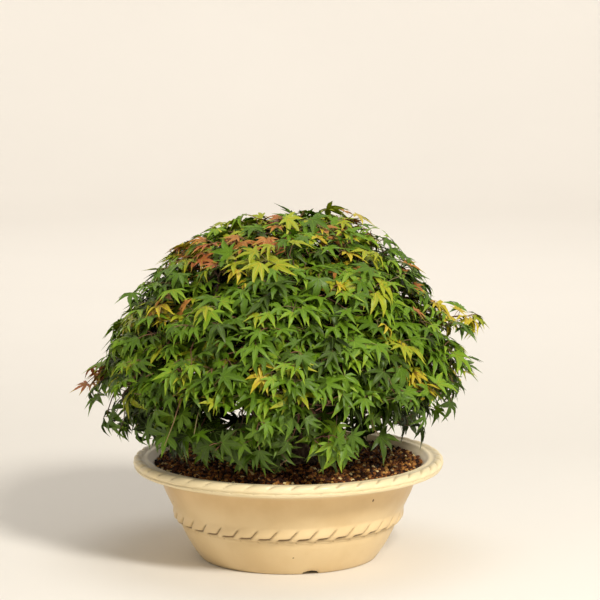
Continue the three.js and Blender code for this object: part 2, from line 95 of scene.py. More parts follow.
DOME = {"x": -3 * MM, "top": 269 * MM, "wide": 138 * MM, "radius": 149 * MM,
        "hem": 70 * MM, "tuck": 40 * MM, "depth": 0.985}
HEM = {"mean": 91 * MM, "back": 12 * MM, "right": 7 * MM, "rise": 26 * MM, "reach": 118 * MM}
SIDES = 7
SIDE = {"r": 100 * MM, "z": 150 * MM, "heart_r": 86 * MM, "heart_z": 160 * MM,
        "turn": -90, "bough": 4.6 * MM}
TOP = {"r": 0, "z": 172 * MM, "heart_r": 0, "heart_z": 205 * MM, "turn": 0, "bough": 4 * MM}
BOUGH_TIP = 2.4 * MM

SHOOTS = 880                              # leafy shoots that end at the crown's outline
INNER_SHOOTS = 400                        # shorter ones, deeper in
SHOOT_DEPTH = (3, 24)                     # how far in from the outline shoots end, in millimetres
INNER_DEPTH = (30, 50)                    # and the inner ones
LEAF_MIDDLE = 21 * MM                     # a leaf's middle lobe
STALK = 10 * MM                           # a leaf's stalk


# ---- node trees: one class for a value, one for the tree that it is in ----
def operator(operation, reflected=False):
    """A method that adds a Math node for one of Python's operators."""
    def apply(self, other):
        terms = [other, self] if reflected else [self, other]
        return self.math(operation, *terms)
    return apply


class Value:
    """An output in a node tree. Python's operators on one that is a number add Math nodes."""

    def __init__(self, nodes, socket):
        self.nodes, self.socket = nodes, socket

    def math(self, operation, *terms):
        return self.nodes.out("ShaderNodeMath", dict(enumerate(terms)), operation=operation)

    __add__ = operator("ADD")
    __radd__ = operator("ADD", reflected=True)
    __sub__ = operator("SUBTRACT")
    __rsub__ = operator("SUBTRACT", reflected=True)
    __mul__ = operator("MULTIPLY")
    __rmul__ = operator("MULTIPLY", reflected=True)
    __truediv__ = operator("DIVIDE")
    __pow__ = operator("POWER")
    __mod__ = operator("FLOORED_MODULO")
    __lt__ = operator("LESS_THAN")
    least = operator("MINIMUM")
    most = operator("MAXIMUM")

    def __abs__(self):
        return self.math("ABSOLUTE", self)

    def equals(self, other):
        """1 where this whole number is the other one, and 0 elsewhere."""
        return self.math("COMPARE", self, other, 0.1)

    def ramp(self, low, high, to_low=0.0, to_high=1.0):
        """This value taken smoothly from one range to another, and held at its ends."""
        return self.nodes.out("ShaderNodeMapRange", {0: self, 1: low, 2: high, 3: to_low, 4: to_high},
                              interpolation_type="SMOOTHSTEP")


class Nodes:
    """A node tree that is filled one node at a time."""

    def __init__(self, tree):
        self.tree = tree

    def feed(self, socket, given):
        """Links a value to a socket, or sets a plain number, vector or colour there."""
        if isinstance(given, Value):
            self.tree.links.new(given.socket, socket)
        else:
            socket.default_value = given

    def add(self, kind, sockets=None, **settings):
        """One node: its settings first, then its sockets by name or number."""
        node = self.tree.nodes.new(kind)
        for key, setting in settings.items():
            setattr(node, key, setting)
        for key, given in (sockets or {}).items():
            self.feed(node.inputs[key], given)
        return node

    def out(self, kind, sockets=None, output=0, **settings):
        """One output of a new node."""
        return Value(self, self.add(kind, sockets, **settings).outputs[output])


def geometry_tree(name, inputs):
    """A Geometry Nodes tree with named inputs. Gives its nodes and its inputs' sockets."""
    tree = bpy.data.node_groups.new(name, "GeometryNodeTree")
    tree.interface.new_socket("Geometry", in_out="INPUT", socket_type="NodeSocketGeometry")
    for label, kind in inputs.items():
        tree.interface.new_socket(label, in_out="INPUT", socket_type="NodeSocket" + kind)
    tree.interface.new_socket("Geometry", in_out="OUTPUT", socket_type="NodeSocketGeometry")
    nodes = Nodes(tree)
    entry = nodes.add("NodeGroupInput")
    given = {label: Value(nodes, entry.outputs[label]) for label in ["Geometry", *inputs]}
    return nodes, given


def finish_tree(nodes, geometry):
    nodes.add("NodeGroupOutput", {0: geometry})


def named(nodes, name, kind="FLOAT"):
    """An attribute that the geometry carries."""
    return nodes.out("GeometryNodeInputNamedAttribute", {"Name": name}, data_type=kind)


def store(nodes, shape, name, given, domain="POINT"):
    """The geometry with a number stored on it."""
    return nodes.out("GeometryNodeStoreNamedAttribute", {"Geometry": shape, "Name": name, "Value": given},
                     data_type="FLOAT", domain=domain)


def scaled(nodes, vector, by):
    return nodes.out("ShaderNodeVectorMath", {0: vector, "Scale": by}, operation="SCALE")


def moved(nodes, shape, offset, chosen=True):
    return nodes.out("GeometryNodeSetPosition", {0: shape, "Selection": chosen, "Offset": offset})


def wearing(nodes, shape, look, chosen=True):
    return nodes.out("GeometryNodeSetMaterial", {0: shape, "Selection": chosen, "Material": look})


def grow(source, nodes, settings):
    """The plain mesh that a Geometry Nodes tree makes of a source mesh."""
    holder = bpy.data.objects.new("growing", source)
    bpy.context.scene.collection.objects.link(holder)
    modifier = holder.modifiers.new("shape", "NODES")
    modifier.node_group = nodes.tree
    sockets = {item.name: item.identifier for item in nodes.tree.interface.items_tree
               if item.in_out == "INPUT"}
    for label, setting in settings.items():
        modifier[sockets[label]] = setting
    seen = holder.evaluated_get(bpy.context.evaluated_depsgraph_get())
    mesh = bpy.data.meshes.new_from_object(seen)
    holder.modifiers.clear()
    bpy.data.objects.remove(holder)
    return with_worn_materials(mesh)


def with_worn_materials(mesh):
    """The mesh with only the materials that its faces wear."""
    slots = np.empty(len(mesh.polygons), np.int32)
    mesh.polygons.foreach_get("material_index", slots)
    worn, slots = np.unique(slots, return_inverse=True)
    kept = [mesh.materials[int(k)] for k in worn] if mesh.materials else []
    mesh.materials.clear()
    for look in kept:
        mesh.materials.append(look)
    mesh.polygons.foreach_set("material_index", slots.astype(np.int32))
    return mesh


def place(name, mesh, replaced=(), smooth=True):
    """A finished piece of the plant or the pot."""
    piece = bpy.data.objects.new(name, mesh)
    bpy.context.scene.collection.objects.link(piece)
    if smooth:
        mesh.shade_smooth()
    else:
        mesh.shade_flat()
    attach(piece, "root")
    if replaced:
        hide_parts(*replaced)


def mesh_of(name, points, edges=(), faces=(), attributes=None):
    """A mesh from arrays, with number or vector attributes on its points."""
    mesh = bpy.data.meshes.new(name)
    mesh.from_pydata([tuple(p) for p in points], [tuple(e) for e in edges], [tuple(f) for f in faces])
    for key, values in (attributes or {}).items():
        values = np.asarray(values, np.float32)
        kind = "FLOAT_VECTOR" if values.ndim == 2 else "FLOAT"
        layer = mesh.attributes.new(key, kind, "POINT")
        layer.data.foreach_set("vector" if values.ndim == 2 else "value", values.ravel())
    return mesh


def band_faces(rings, columns, first=0):
    """Four-sided faces between rings of points. The first ring starts at the point numbered first."""
    return [(first + k * columns + i, first + (k + 1) * columns + i,
             first + (k + 1) * columns + (i + 1) % columns, first + k * columns + (i + 1) % columns)
            for k in range(rings - 1) for i in range(columns)]


# ---- materials ----
def material(name, constants, build):
    """A Principled material: build fills in what changes over the surface."""
    made = bpy.data.materials.new(name)
    made.use_nodes = True
    nodes = Nodes(made.node_tree)
    shader = made.node_tree.nodes["Principled BSDF"]
    for key, given in {**constants, **build(nodes)}.items():
        nodes.feed(shader.inputs[key], given)
    return made


def own_space(nodes):
    return nodes.out("ShaderNodeTexCoord", output="Object")


def noise(nodes, scale, detail=3.0, stretch=None, roughness=0.5):
    """Noise in the piece's own space, from 0 to 1."""
    where = own_space(nodes)
    if stretch:
        where = nodes.out("ShaderNodeMapping", {"Vector": where, "Scale": stretch})
    return nodes.out("ShaderNodeTexNoise", {
        "Vector": where, "Scale": scale, "Detail": detail, "Roughness": roughness})


def blend(nodes, share, first, second):
    """A colour between two, by a share from 0 to 1."""
    first, second = (colour if isinstance(colour, Value) else (*colour, 1) for colour in (first, second))
    return nodes.out("ShaderNodeMix", {0: share, 6: first, 7: second}, 2, data_type="RGBA",
                     clamp_factor=True)


def bump(nodes, height, distance, strength=1.0):
    return nodes.out("ShaderNodeBump", {"Height": height, "Distance": distance, "Strength": strength})


def attribute(nodes, name):
    """A number that the mesh carries, as a material reads it."""
    return nodes.out("ShaderNodeAttribute", output="Fac", attribute_name=name)


# The glaze's clouds, each between two creams: low on the pot, on its waist, and on the rim. The waist's
# darker, more orange creams are painted shade under the lip with painted warm reflected light, and the rim's
# paler creams are painted light.
CREAMS = [((0.75, 0.56, 0.30), (0.82, 0.635, 0.365)),
          ((0.67, 0.465, 0.225), (0.75, 0.54, 0.28)),
          ((0.86, 0.72, 0.44), (0.90, 0.77, 0.50))]


def glaze_look(nodes):
    """Cream glaze: cloudy, with a few iron specks. It is browner in the cuts, partly where it runs thin and
    partly as painted shade; its waist is painted darker as shade under the lip, and its rim lighter as
    painted light.
    """
    cloud = noise(nodes, 28, 4)
    height = nodes.out("ShaderNodeSeparateXYZ", {0: own_space(nodes)}, 2)
    low, waist, rim = (blend(nodes, cloud.ramp(0.3, 0.7), *pair) for pair in CREAMS)
    # Painted shade: the waist under the lip is darker and more orange, with painted warm reflected light.
    # Painted light: the rim is paler.
    body = blend(nodes, height.ramp(38 * MM, 62 * MM), low, waist)
    body = blend(nodes, height.ramp(64 * MM, 69 * MM), body, rim)
    # The cuts are browner: glaze that runs thin there, and painted shade in the cuts.
    worn = blend(nodes, attribute(nodes, "cut") * (0.55 + 0.6 * cloud), body, (0.20, 0.12, 0.05))
    specks = noise(nodes, 210, 1).ramp(0.765, 0.79) * noise(nodes, 37, 0).ramp(0.56, 0.62)
    colour = blend(nodes, specks, worn, (0.13, 0.06, 0.02))
    ripple = noise(nodes, 90, 2) + 0.35 * noise(nodes, 420, 2)
    return {"Base Color": colour, "Roughness": noise(nodes, 60).ramp(0.3, 0.7, 0.30, 0.46),
            "Normal": bump(nodes, ripple, 0.35 * MM, 0.35)}


def soil_look(nodes):
    """A granule's grit and dust. Its colour is plain, because granules differ by tone."""
    return {"Roughness": noise(nodes, 900).ramp(0.3, 0.7, 0.62, 0.95),
            "Normal": bump(nodes, noise(nodes, 1500), 0.25 * MM, 0.8)}


def bark_look(nodes):
    """Old bark: dark brown, streaked along the limb, greyer on its ridges."""
    streak = noise(nodes, 260, 5, stretch=(1, 1, 0.28), roughness=0.62)
    ridge = attribute(nodes, "ridge")
    dark = blend(nodes, streak.ramp(0.35, 0.65), (0.030, 0.017, 0.011), (0.085, 0.050, 0.032))
    colour = blend(nodes, ridge * streak.ramp(0.4, 0.7), dark, (0.20, 0.14, 0.10))
    return {"Base Color": colour, "Roughness": streak.ramp(0.3, 0.7, 0.75, 0.95),
            "Normal": bump(nodes, streak, 0.8 * MM, 0.9)}


def twig_look(nodes):
    """Young twigs: grey-brown, with redder stretches."""
    streak = noise(nodes, 330, 4)
    broad = noise(nodes, 22, 2)
    colour = blend(nodes, broad.ramp(0.42, 0.6), (0.085, 0.053, 0.032), (0.13, 0.052, 0.031))
    colour = blend(nodes, streak.ramp(0.5, 0.75, 0, 0.5), colour, (0.22, 0.16, 0.11))
    return {"Base Color": colour, "Roughness": streak.ramp(0.3, 0.7, 0.6, 0.85),
            "Normal": bump(nodes, streak, 0.2 * MM, 0.6)}


def stalk_look(nodes):
    """Leaf stalks: tan, red where the sun reaches them."""
    broad = noise(nodes, 30, 2)
    colour = blend(nodes, broad.ramp(0.4, 0.6), (0.19, 0.17, 0.06), (0.21, 0.10, 0.05))
    return {"Base Color": colour, "Roughness": broad.ramp(0.3, 0.7, 0.45, 0.6)}


def leaf_look(nodes):
    """A leaf's faint ribs and its uneven gloss. Its colour is plain, because leaves differ by tint."""
    return {"Roughness": noise(nodes, 160).ramp(0.3, 0.7, 0.40, 0.58),
            "Normal": bump(nodes, noise(nodes, 900, 2), 0.15 * MM, 0.35)}


# A leaf's tints: its blade, and the ends of its lobes. Its veins take the next tint's blade.
LEAF_TINTS = {
    # The shadow and deep greens are painted shade for leaves inside and under the crown; deep green is also
    # a leaf's own darker tint.
    "shadow_green": ((0.011, 0.020, 0.001), (0.017, 0.030, 0.001)),
    "deep_green": ((0.040, 0.074, 0.003), (0.058, 0.098, 0.004)),
    "mid_green": ((0.066, 0.134, 0.004), (0.098, 0.176, 0.006)),
    "fresh_green": ((0.102, 0.200, 0.006), (0.150, 0.256, 0.009)),
    "bright_green": ((0.156, 0.274, 0.010), (0.232, 0.338, 0.015)),
    "lime": ((0.270, 0.320, 0.014), (0.360, 0.370, 0.018)),
    "gold": ((0.450, 0.370, 0.018), (0.500, 0.430, 0.024)),
    "orange": ((0.390, 0.175, 0.034), (0.350, 0.285, 0.026)),
    "coral": ((0.365, 0.112, 0.032), (0.360, 0.245, 0.026)),
}
SHADOW, DEEP, MID, FRESH, BRIGHT, LIME, GOLD, ORANGE, CORAL = range(len(LEAF_TINTS))

GLAZE = material("cream_glaze", {"Coat Weight": 0.07, "Coat Roughness": 0.2, "Specular IOR Level": 0.36},
                 glaze_look)
# Baked-clay granules from near black to pale straw: a colour, and the share of them up to it.
SOIL_TONES = [
    ((0.040, 0.013, 0.005), 0.22), ((0.100, 0.030, 0.009), 0.44), ((0.190, 0.060, 0.015), 0.62),
    ((0.330, 0.120, 0.026), 0.78), ((0.500, 0.220, 0.050), 0.885), ((0.700, 0.380, 0.100), 0.955),
    ((0.950, 0.750, 0.360), 1.0)]
BED_TONE = 0.12
SOILS = [material(f"granule_{k}", {"Base Color": (*colour, 1), "Specular IOR Level": 0.35}, soil_look)
         for k, (colour, share) in enumerate(SOIL_TONES)]
BARK = material("old_bark", {"Specular IOR Level": 0.25}, bark_look)
TWIG = material("twig_bark", {"Specular IOR Level": 0.3}, twig_look)
STALKS = material("leaf_stalk", {}, stalk_look)
LEAF_COLOURS = [(f"{name}_{part}", colour) for name, pair in LEAF_TINTS.items()
                for part, colour in zip(("blade", "tip"), pair)]
# A dark leaf shines less, so that the shade inside the crown stays deep.
LEAVES = [material(name, {"Base Color": (*colour, 1), "Specular IOR Level": min(0.34, 4.0 * colour[1])},
                   leaf_look) for name, colour in LEAF_COLOURS]


# ---- pot ----
OFF_ROPE = 2.0                            # what stands for a row that is on no rope


def rope_rows(rows, belly):
    """Rows across a rope moulding, from -1 at its first row to 1 at its last."""
    shares = np.linspace(-1, 1, len(rows))
    return [(r, z, s if belly else OFF_ROPE, OFF_ROPE if belly else s, n)
            for (r, z, n), s in zip(rows, shares)]


def plain_rows(rows):
    return [(r, z, OFF_ROPE, OFF_ROPE, n) for r, z, n in rows]


# The pot's section from the drain hole under the foot, up the outside, over the rim and down the
# inside, in millimetres: each row is radius, height, and the steps to the next row.
POT_SECTION = (
    plain_rows([(8, 11, 1), (8, 4.4, 1), (9, 4, 3), (54, 4, 2), (55, 3.4, 1), (55, 0.6, 1), (55.8, 0, 2),
                (67, 0, 1), (68.4, 0.4, 2), (71.3, 4, 3), (75, 9.5, 3), (78.8, 16, 3), (82.1, 22.5, 3),
                (83.8, 27, 2)])
    + rope_rows([(84.5, 28.9, 4), (86.5, 30.3, 4), (87.8, 32.6, 4), (88.5, 35, 4), (89.1, 37.4, 4),
                 (89.9, 40, 2)], belly=True)
    + plain_rows([(91.8, 44, 3), (95.8, 52.5, 4), (98.7, 60.2, 3), (100.6, 64, 2), (103.6, 66.6, 2),
                  (108, 68, 2), (113.5, 69, 2), (116.6, 69.3, 2), (118.6, 70.1, 2), (119.3, 71.4, 2)])
    + rope_rows([(119.0, 72.5, 4), (119.2, 74.3, 4), (118.6, 76.2, 4), (117, 77.5, 4), (114.9, 77.9, 4),
                 (112.8, 77.5, 2)], belly=False)
    + plain_rows([(111.4, 77.5, 2), (109.6, 78, 2), (108.4, 77.6, 2), (107.2, 76.4, 3), (103.6, 73, 3),
                  (88.4, 50, 3), (74, 22, 2), (64, 12, 1), (57, 11, 1)]))


def catmull(a, b, c, d, t):
    """A smooth run from b to c past its neighbours a and d."""
    return 0.5 * (2 * b + (c - a) * t + (2 * a - 5 * b + 4 * c - d) * t ** 2
                  + (3 * b - a - 3 * c + d) * t ** 3)


def section_points():
    """The section with its steps filled in: radius, height, and how far across each rope."""
    rows = np.array(POT_SECTION)
    found = []
    for k, row in enumerate(rows[:-1]):
        nearby = [rows[max(k - 1, 0)], row, rows[k + 1], rows[min(k + 2, len(rows) - 1)]]
        for step in range(int(row[4])):
            t = step / row[4]
            straight = row + (rows[k + 1] - row) * t
            point = 0.35 * catmull(*nearby, t) + 0.65 * straight
            found.append([point[0], max(point[1], 0.0), *straight[2:4]])
    return np.array(found + [rows[-1][:4]])


def pot_mesh():
    """The section turned round the axis, and closed where it comes back to the drain hole."""
    section = section_points()
    turns = np.linspace(0, 2 * math.pi, POT_COLUMNS, endpoint=False)
    count = len(section)
    r, z = section[:, 0] * MM, section[:, 1] * MM
    points = np.stack([np.outer(np.cos(turns), r), np.outer(np.sin(turns), r),
                       np.tile(z, (POT_COLUMNS, 1))], axis=2).reshape(-1, 3)
    faces = []
    for i in range(POT_COLUMNS):
        here, there = i * count, (i + 1) % POT_COLUMNS * count
        for k in range(count):
            n = (k + 1) % count
            faces.append((here + k, here + n, there + n, there + k))
    spread = {"belly_rope": np.tile(section[:, 2], POT_COLUMNS),
              "rim_rope": np.tile(section[:, 3], POT_COLUMNS), "turn": np.repeat(turns, count)}
    return mesh_of("pot", points, faces=[f[::-1] for f in faces], attributes=spread)


def strand_relief(nodes, moulding, strands, slant, low, ledge):
    """One rope moulding's height and cuts: pads that lie over each other along slanting cuts.

    Across the moulding runs from -1 at its lower edge to 1, and is 2 off it. A slanting cut rises
    from a level one at -low, which is as deep as ledge says, and fades towards the upper edge.
    """
    across = named(nodes, moulding)
    on_rope = abs(across) < 1.001
    phase = (named(nodes, "turn") * (strands / (2 * math.pi)) - slant * across) % 1.0
    slanting = abs(phase - 0.5).ramp(0.42, 0.5, 0, 0.85)
    slanting = slanting * across.ramp(-low - 0.04, -low + 0.04) * across.ramp(0.3, 0.85, 1, 0)
    under = abs(across + low).ramp(0.08, 0.30, 1, 0) * phase.ramp(0.34, 0.50) * ledge
    cut = slanting.most(under) * on_rope
    swell = (phase * (1.0 - phase) * 4.0).most(0.0) ** 0.5
    height = (1.0 - across * across).most(0.0) * (1.0 - 0.4 * across) * swell * on_rope
    return height, cut


def rope_pot_tree():
    nodes, given = geometry_tree("rope_pot", {"Swell": "Float", "Cut": "Float", "Notch": "Vector"})
    belly, belly_cut = strand_relief(nodes, "belly_rope", BELLY_STRANDS, slant=0.36, low=0.50, ledge=1.3)
    rim, rim_cut = strand_relief(nodes, "rim_rope", RIM_STRANDS, slant=0.42, low=0.2, ledge=0.1)
    cut = belly_cut + 0.62 * rim_cut      # the rim's cuts are shallower
    rise = (belly + rim) * given["Swell"] - cut * given["Cut"]
    shape = store(nodes, given["Geometry"], "cut", cut)
    shape = moved(nodes, shape, scaled(nodes, nodes.out("GeometryNodeInputNormal"), rise))
    notch = nodes.add("ShaderNodeSeparateXYZ", {0: given["Notch"]})
    start, width, high = (Value(nodes, output) for output in notch.outputs)
    turn = abs((named(nodes, "turn") - start + THIRD / 2) % THIRD - THIRD / 2)
    arch = (1.0 - (turn / width) ** 2.0).most(0.0) ** 0.5 * high
    z = nodes.out("ShaderNodeSeparateXYZ", {0: nodes.out("GeometryNodeInputPosition")}, 2)
    lift = nodes.out("ShaderNodeCombineXYZ", {2: z.most(arch) - z})
    shape = moved(nodes, shape, lift, (turn < width) * (z < high))
    finish_tree(nodes, wearing(nodes, shape, GLAZE))
    return nodes


def build_pot():
    notch = (NOTCH_TURN % THIRD, NOTCH_HALF / FOOT_R, NOTCH_HEIGHT)
    mesh = grow(pot_mesh(), rope_pot_tree(), {"Swell": ROPE_SWELL, "Cut": ROPE_CUT, "Notch": notch})
    place("pot_glazed", mesh, ["pot"])


# ---- soil ----
def soil_height(r):
    """The soil's slight mound."""
    return SOIL_EDGE_Z + (SOIL_TOP_Z - SOIL_EDGE_Z) * (1 - (r / SOIL_EDGE_R) ** 2)


def soil_bed():
    """The face that the granules lie on: rings from the middle to the pot's wall."""
    rings, columns = 22, 72
    points = [(0, 0, soil_height(0))]
    for k in range(1, rings + 1):
        r = SOIL_EDGE_R * k / rings
        points += [(r * math.cos(a), r * math.sin(a), soil_height(r))
                   for a in np.linspace(0, 2 * math.pi, columns, endpoint=False)]
    faces = [(0, 1 + i, 1 + (i + 1) % columns) for i in range(columns)]
    return mesh_of("soil_bed", points, faces=faces + band_faces(rings, columns, first=1))


def granule_tree():
    """Granules scattered over a face, each of its own size, turn and tone."""
    nodes, given = geometry_tree("granules", {"Count": "Int", "Width": "Float", "Lumps": "Float"})

    def random_vector(low, high, seed):
        return nodes.out("FunctionNodeRandomValue", {"Min": low, "Max": high, "Seed": seed},
                         data_type="FLOAT_VECTOR")

    area = math.pi * SOIL_EDGE_R ** 2
    scattered = nodes.out("GeometryNodeDistributePointsOnFaces", {
        "Mesh": given["Geometry"], "Distance Min": given["Width"] * GRAIN_CLOSEST,
        "Density Max": given["Count"] / area, "Seed": SEED}, "Points", distribute_method="POISSON")
    grain = nodes.out("GeometryNodeMeshUVSphere", {"Segments": 6, "Rings": 4, "Radius": 0.5})
    turn = random_vector((0, 0, 0), (6.3, 6.3, 6.3), 2)
    size = random_vector((0.62, 0.62, 0.5), (1.25, 1.2, 1.05), 3)
    laid = nodes.out("GeometryNodeInstanceOnPoints", {
        "Points": scattered, "Instance": grain, "Scale": scaled(nodes, size, given["Width"]),
        "Rotation": nodes.out("FunctionNodeEulerToRotation", {0: turn})})
    tone = nodes.out("FunctionNodeRandomValue", {"Seed": 4}, 1, data_type="FLOAT")
    laid = store(nodes, laid, "tone", tone, domain="INSTANCE")
    laid = nodes.out("GeometryNodeRealizeInstances", {0: laid})
    lumps = nodes.out("ShaderNodeTexNoise", {"Scale": 520.0, "Detail": 1.0}, "Color")
    push = nodes.out("ShaderNodeVectorMath", {0: lumps, 1: (0.5, 0.5, 0.5)}, operation="SUBTRACT")
    laid = moved(nodes, laid, scaled(nodes, push, given["Lumps"]))
    both = nodes.add("GeometryNodeJoinGeometry")
    for part in (store(nodes, given["Geometry"], "tone", BED_TONE), laid):
        nodes.feed(both.inputs[0], part)
    shape = Value(nodes, both.outputs[0])
    for look, (colour, share) in reversed(list(zip(SOILS, SOIL_TONES))):
        shape = wearing(nodes, shape, look, named(nodes, "tone") < share + 0.001)
    finish_tree(nodes, shape)
    return nodes


def build_soil():
    mesh = grow(soil_bed(), granule_tree(), {"Count": GRAINS, "Width": GRAIN, "Lumps": LUMPS})
    place("soil_granules", mesh, ["soil"], smooth=False)


# ---- limbs ----
def unit(v):
    v = np.asarray(v, float)
    return v / np.maximum(np.linalg.norm(v, axis=-1, keepdims=True), 1e-12)


def curve_points(knots, count):
    """A smooth run through a few knots."""
    knots = np.asarray(knots, float)
    padded = np.vstack([2 * knots[0] - knots[1], knots, 2 * knots[-1] - knots[-2]])
    found = []
    for t in np.linspace(0, len(knots) - 1, count):
        k = min(int(t), len(knots) - 2)
        found.append(catmull(*padded[k:k + 4], t - k))
    return np.array(found)


def tube(path, radii, sides, lobes=None):
    """Points and faces of a closed tube along a path."""
    along = unit(np.gradient(path, axis=0))
    reference = np.array([1.0, 0, 0]) if abs(along[0][2]) > 0.7 else np.array([0, 0, 1.0])
    u = unit(np.cross(reference, along))
    v = np.cross(along, u)
    angles = np.linspace(0, 2 * math.pi, sides, endpoint=False)
    swell = np.ones((len(path), sides)) if lobes is None else lobes(angles)
    ring = radii[:, None] * swell
    points = (path[:, None, :] + (ring * np.cos(angles))[..., None] * u[:, None, :]
              + (ring * np.sin(angles))[..., None] * v[:, None, :]).reshape(-1, 3)
    faces = [(a, d, c, b) for a, b, c, d in band_faces(len(path), sides)]
    faces.append(tuple(range(sides))[::-1])
    last = (len(path) - 1) * sides
    faces.append(tuple(last + i for i in range(sides)))
    return points, faces


def trunk_path(count):
    knots = [TRUNK_FOOT, TRUNK_FOOT + [MM, MM, TRUNK_HEIGHT * 0.35],
             TRUNK_FOOT + TRUNK_LEAN * [0.4, 0.5, 0] + [0, 0, TRUNK_HEIGHT * 0.7],
             TRUNK_FOOT + TRUNK_LEAN + [0, 0, TRUNK_HEIGHT]]
    return curve_points(knots, count)


def bark_tree():
    """Bark relief: long ridges along the limb, and finer cracks."""
    nodes, given = geometry_tree("bark_relief", {"Depth": "Float", "Scale": "Float"})
    position = nodes.out("GeometryNodeInputPosition")
    drawn = nodes.out("ShaderNodeVectorMath", {0: position, 1: (1, 1, 0.3)}, operation="MULTIPLY")
    ridges = nodes.out("ShaderNodeTexNoise", {
        "Vector": drawn, "Scale": given["Scale"], "Detail": 4.0, "Roughness": 0.6})
    cracks = nodes.out("ShaderNodeTexNoise", {
        "Vector": position, "Scale": given["Scale"] * 2.5, "Detail": 2.0})
    ridge = 1.0 - abs(ridges - 0.5) * 6.0
    height = (ridge.most(-1.0) + (cracks - 0.5) * 1.4) * given["Depth"]
    shape = store(nodes, given["Geometry"], "ridge", ridge.ramp(0.2, 0.9))
    shape = moved(nodes, shape, scaled(nodes, nodes.out("GeometryNodeInputNormal"), height))
    finish_tree(nodes, wearing(nodes, shape, BARK))
    return nodes


def build_trunk(relief):
    rows = 70
    t = np.linspace(0, 1, rows)
    radii = TRUNK_WAIST + (TRUNK_TIP - TRUNK_WAIST) * t + (TRUNK_FLARE - TRUNK_WAIST) * np.exp(-t / 0.13)
    share = 0.16 * np.exp(-t / 0.2)

    def lobes(angles):
        return 1 + share[:, None] * np.cos(TRUNK_ROOTS * angles + 0.6)

    points, faces = tube(trunk_path(rows), radii * 0.99, 96, lobes)
    mesh = grow(mesh_of("trunk", points, faces=faces), relief, TRUNK_RELIEF)
    place("trunk_bark", mesh, ["trunk"])


# ---- the crown's outline, and the masses that share it ----
def crown_radius(z):
    z = np.asarray(z, float)
    t = np.clip((z - DOME["wide"]) / (DOME["top"] - DOME["wide"]), 0, 1)
    above = DOME["radius"] * np.sqrt(1 - t ** 1.5)
    low = np.clip((DOME["wide"] - z) / (DOME["wide"] - DOME["hem"]), 0, None)
    return np.where(z >= DOME["wide"], above, DOME["radius"] - DOME["tuck"] * low ** 1.2)


def smooth(value, low, high):
    """0 at low, 1 at high, and smooth between."""
    t = np.clip((np.asarray(value, float) - low) / (high - low), 0, 1)
    return t * t * (3 - 2 * t)


def bulge(z, middle, half):
    """A rounded bulge's share of its height: 1 at its middle, and near 0 two halves away."""
    return np.exp(-((z - middle) / half) ** 2)


def side_inset(x, z):
    """How much narrower than a round dome the crown is, to its right and to its left.

    Its top leans right. Each bulge is a step in the outline, by its depth, height and half width in
    millimetres, and is less than 0 where the leaves stand out.
    """
    x, z = np.asarray(x, float) / MM, np.asarray(z, float) / MM
    high = smooth(z, 232, 264)
    right = 9 - 28 * high - 22 * smooth(z, 261, 268) + 12 * bulge(z, 125, 6) - 14 * bulge(z, 138, 8)
    right += 8 * bulge(z, 241, 4) - 10 * bulge(z, 230, 9) - 8 * bulge(z, 222, 4)
    right += 4 * smooth(-z, -120, -112) + 15 * bulge(z, 104, 5) - 12 * smooth(-z, -98, -92)
    left = 6 + 17 * smooth(z, 246, 258) + 8 * bulge(z, 253, 4) - 15 * bulge(z, 240, 5) - 9 * bulge(z, 203, 3)
    left += 24 * bulge(z, 119, 6) - 7 * bulge(z, 152, 10) - 9 * bulge(z, 137, 5) - 24 * bulge(z, 105, 6)
    left += 24 * smooth(-z, -97, -91)
    return (np.clip(x / 70, 0, 1) * right + np.clip(-x / 70, 0, 1) * left) * MM


def off_axis(x, y):
    """How far points are from the crown's axis."""
    return np.hypot(x - DOME["x"], y)


def side_reach(x, z):
    """How far the crown's side is from its axis."""
    return crown_radius(z) - side_inset(x, z)


def hem_height(x, y):
    """How high the crown's lower edge is: higher at the back and right, and under its middle."""
    r = np.maximum(off_axis(x, y), 1e-6)
    lean = (HEM["back"] * y + HEM["right"] * (x - DOME["x"])) / r
    return HEM["mean"] + lean + HEM["rise"] * np.maximum(0, 1 - (r / HEM["reach"]) ** 2)


def inside_crown(p):
    x, y, z = p[..., 0], p[..., 1], p[..., 2]
    within = off_axis(x, y / DOME["depth"]) < side_reach(x, z)
    return within & (z < DOME["top"]) & (z > hem_height(x, y))


# The turns round the crown, in degrees, where its leaves hang lowest.
BUNCHES = [-131, -110, -96, -73, -52, -28, -5, 20, 44, 70, 97, 121, 147, 170, 190, 211]
BUNCH_SHOOTS = 4                          # extra shoots in each bunch
BUNCH_ENDS = (98, 126)                    # the heights at which they end, in millimetres
BUNCH_DEPTH = (8, 22)                     # and how far in from the crown's side


def turn_from(x, y, turn):
    """How far round the crown points are from a turn, in degrees."""
    return np.abs((np.degrees(np.arctan2(y, x)) - turn + 180) % 360 - 180)


def ragged_hem(x, y):
    """The hem with its leaves in bunches."""
    hung = sum(bulge(turn_from(x, y, turn), 0, 6.5) for turn in BUNCHES)
    return hem_height(x, y) + (20 - 17 * np.minimum(hung, 1)) * MM


def crown_normal(p):
    reach = np.maximum(off_axis(p[:, 0], p[:, 1]), MM)
    slope = (crown_radius(p[:, 2] + 2 * MM) - crown_radius(p[:, 2] - 2 * MM)) / (4 * MM)
    flat = np.stack([(p[:, 0] - DOME["x"]) / reach, p[:, 1] / reach, np.clip(-slope, -0.5, 6)], axis=1)
    return unit(flat)


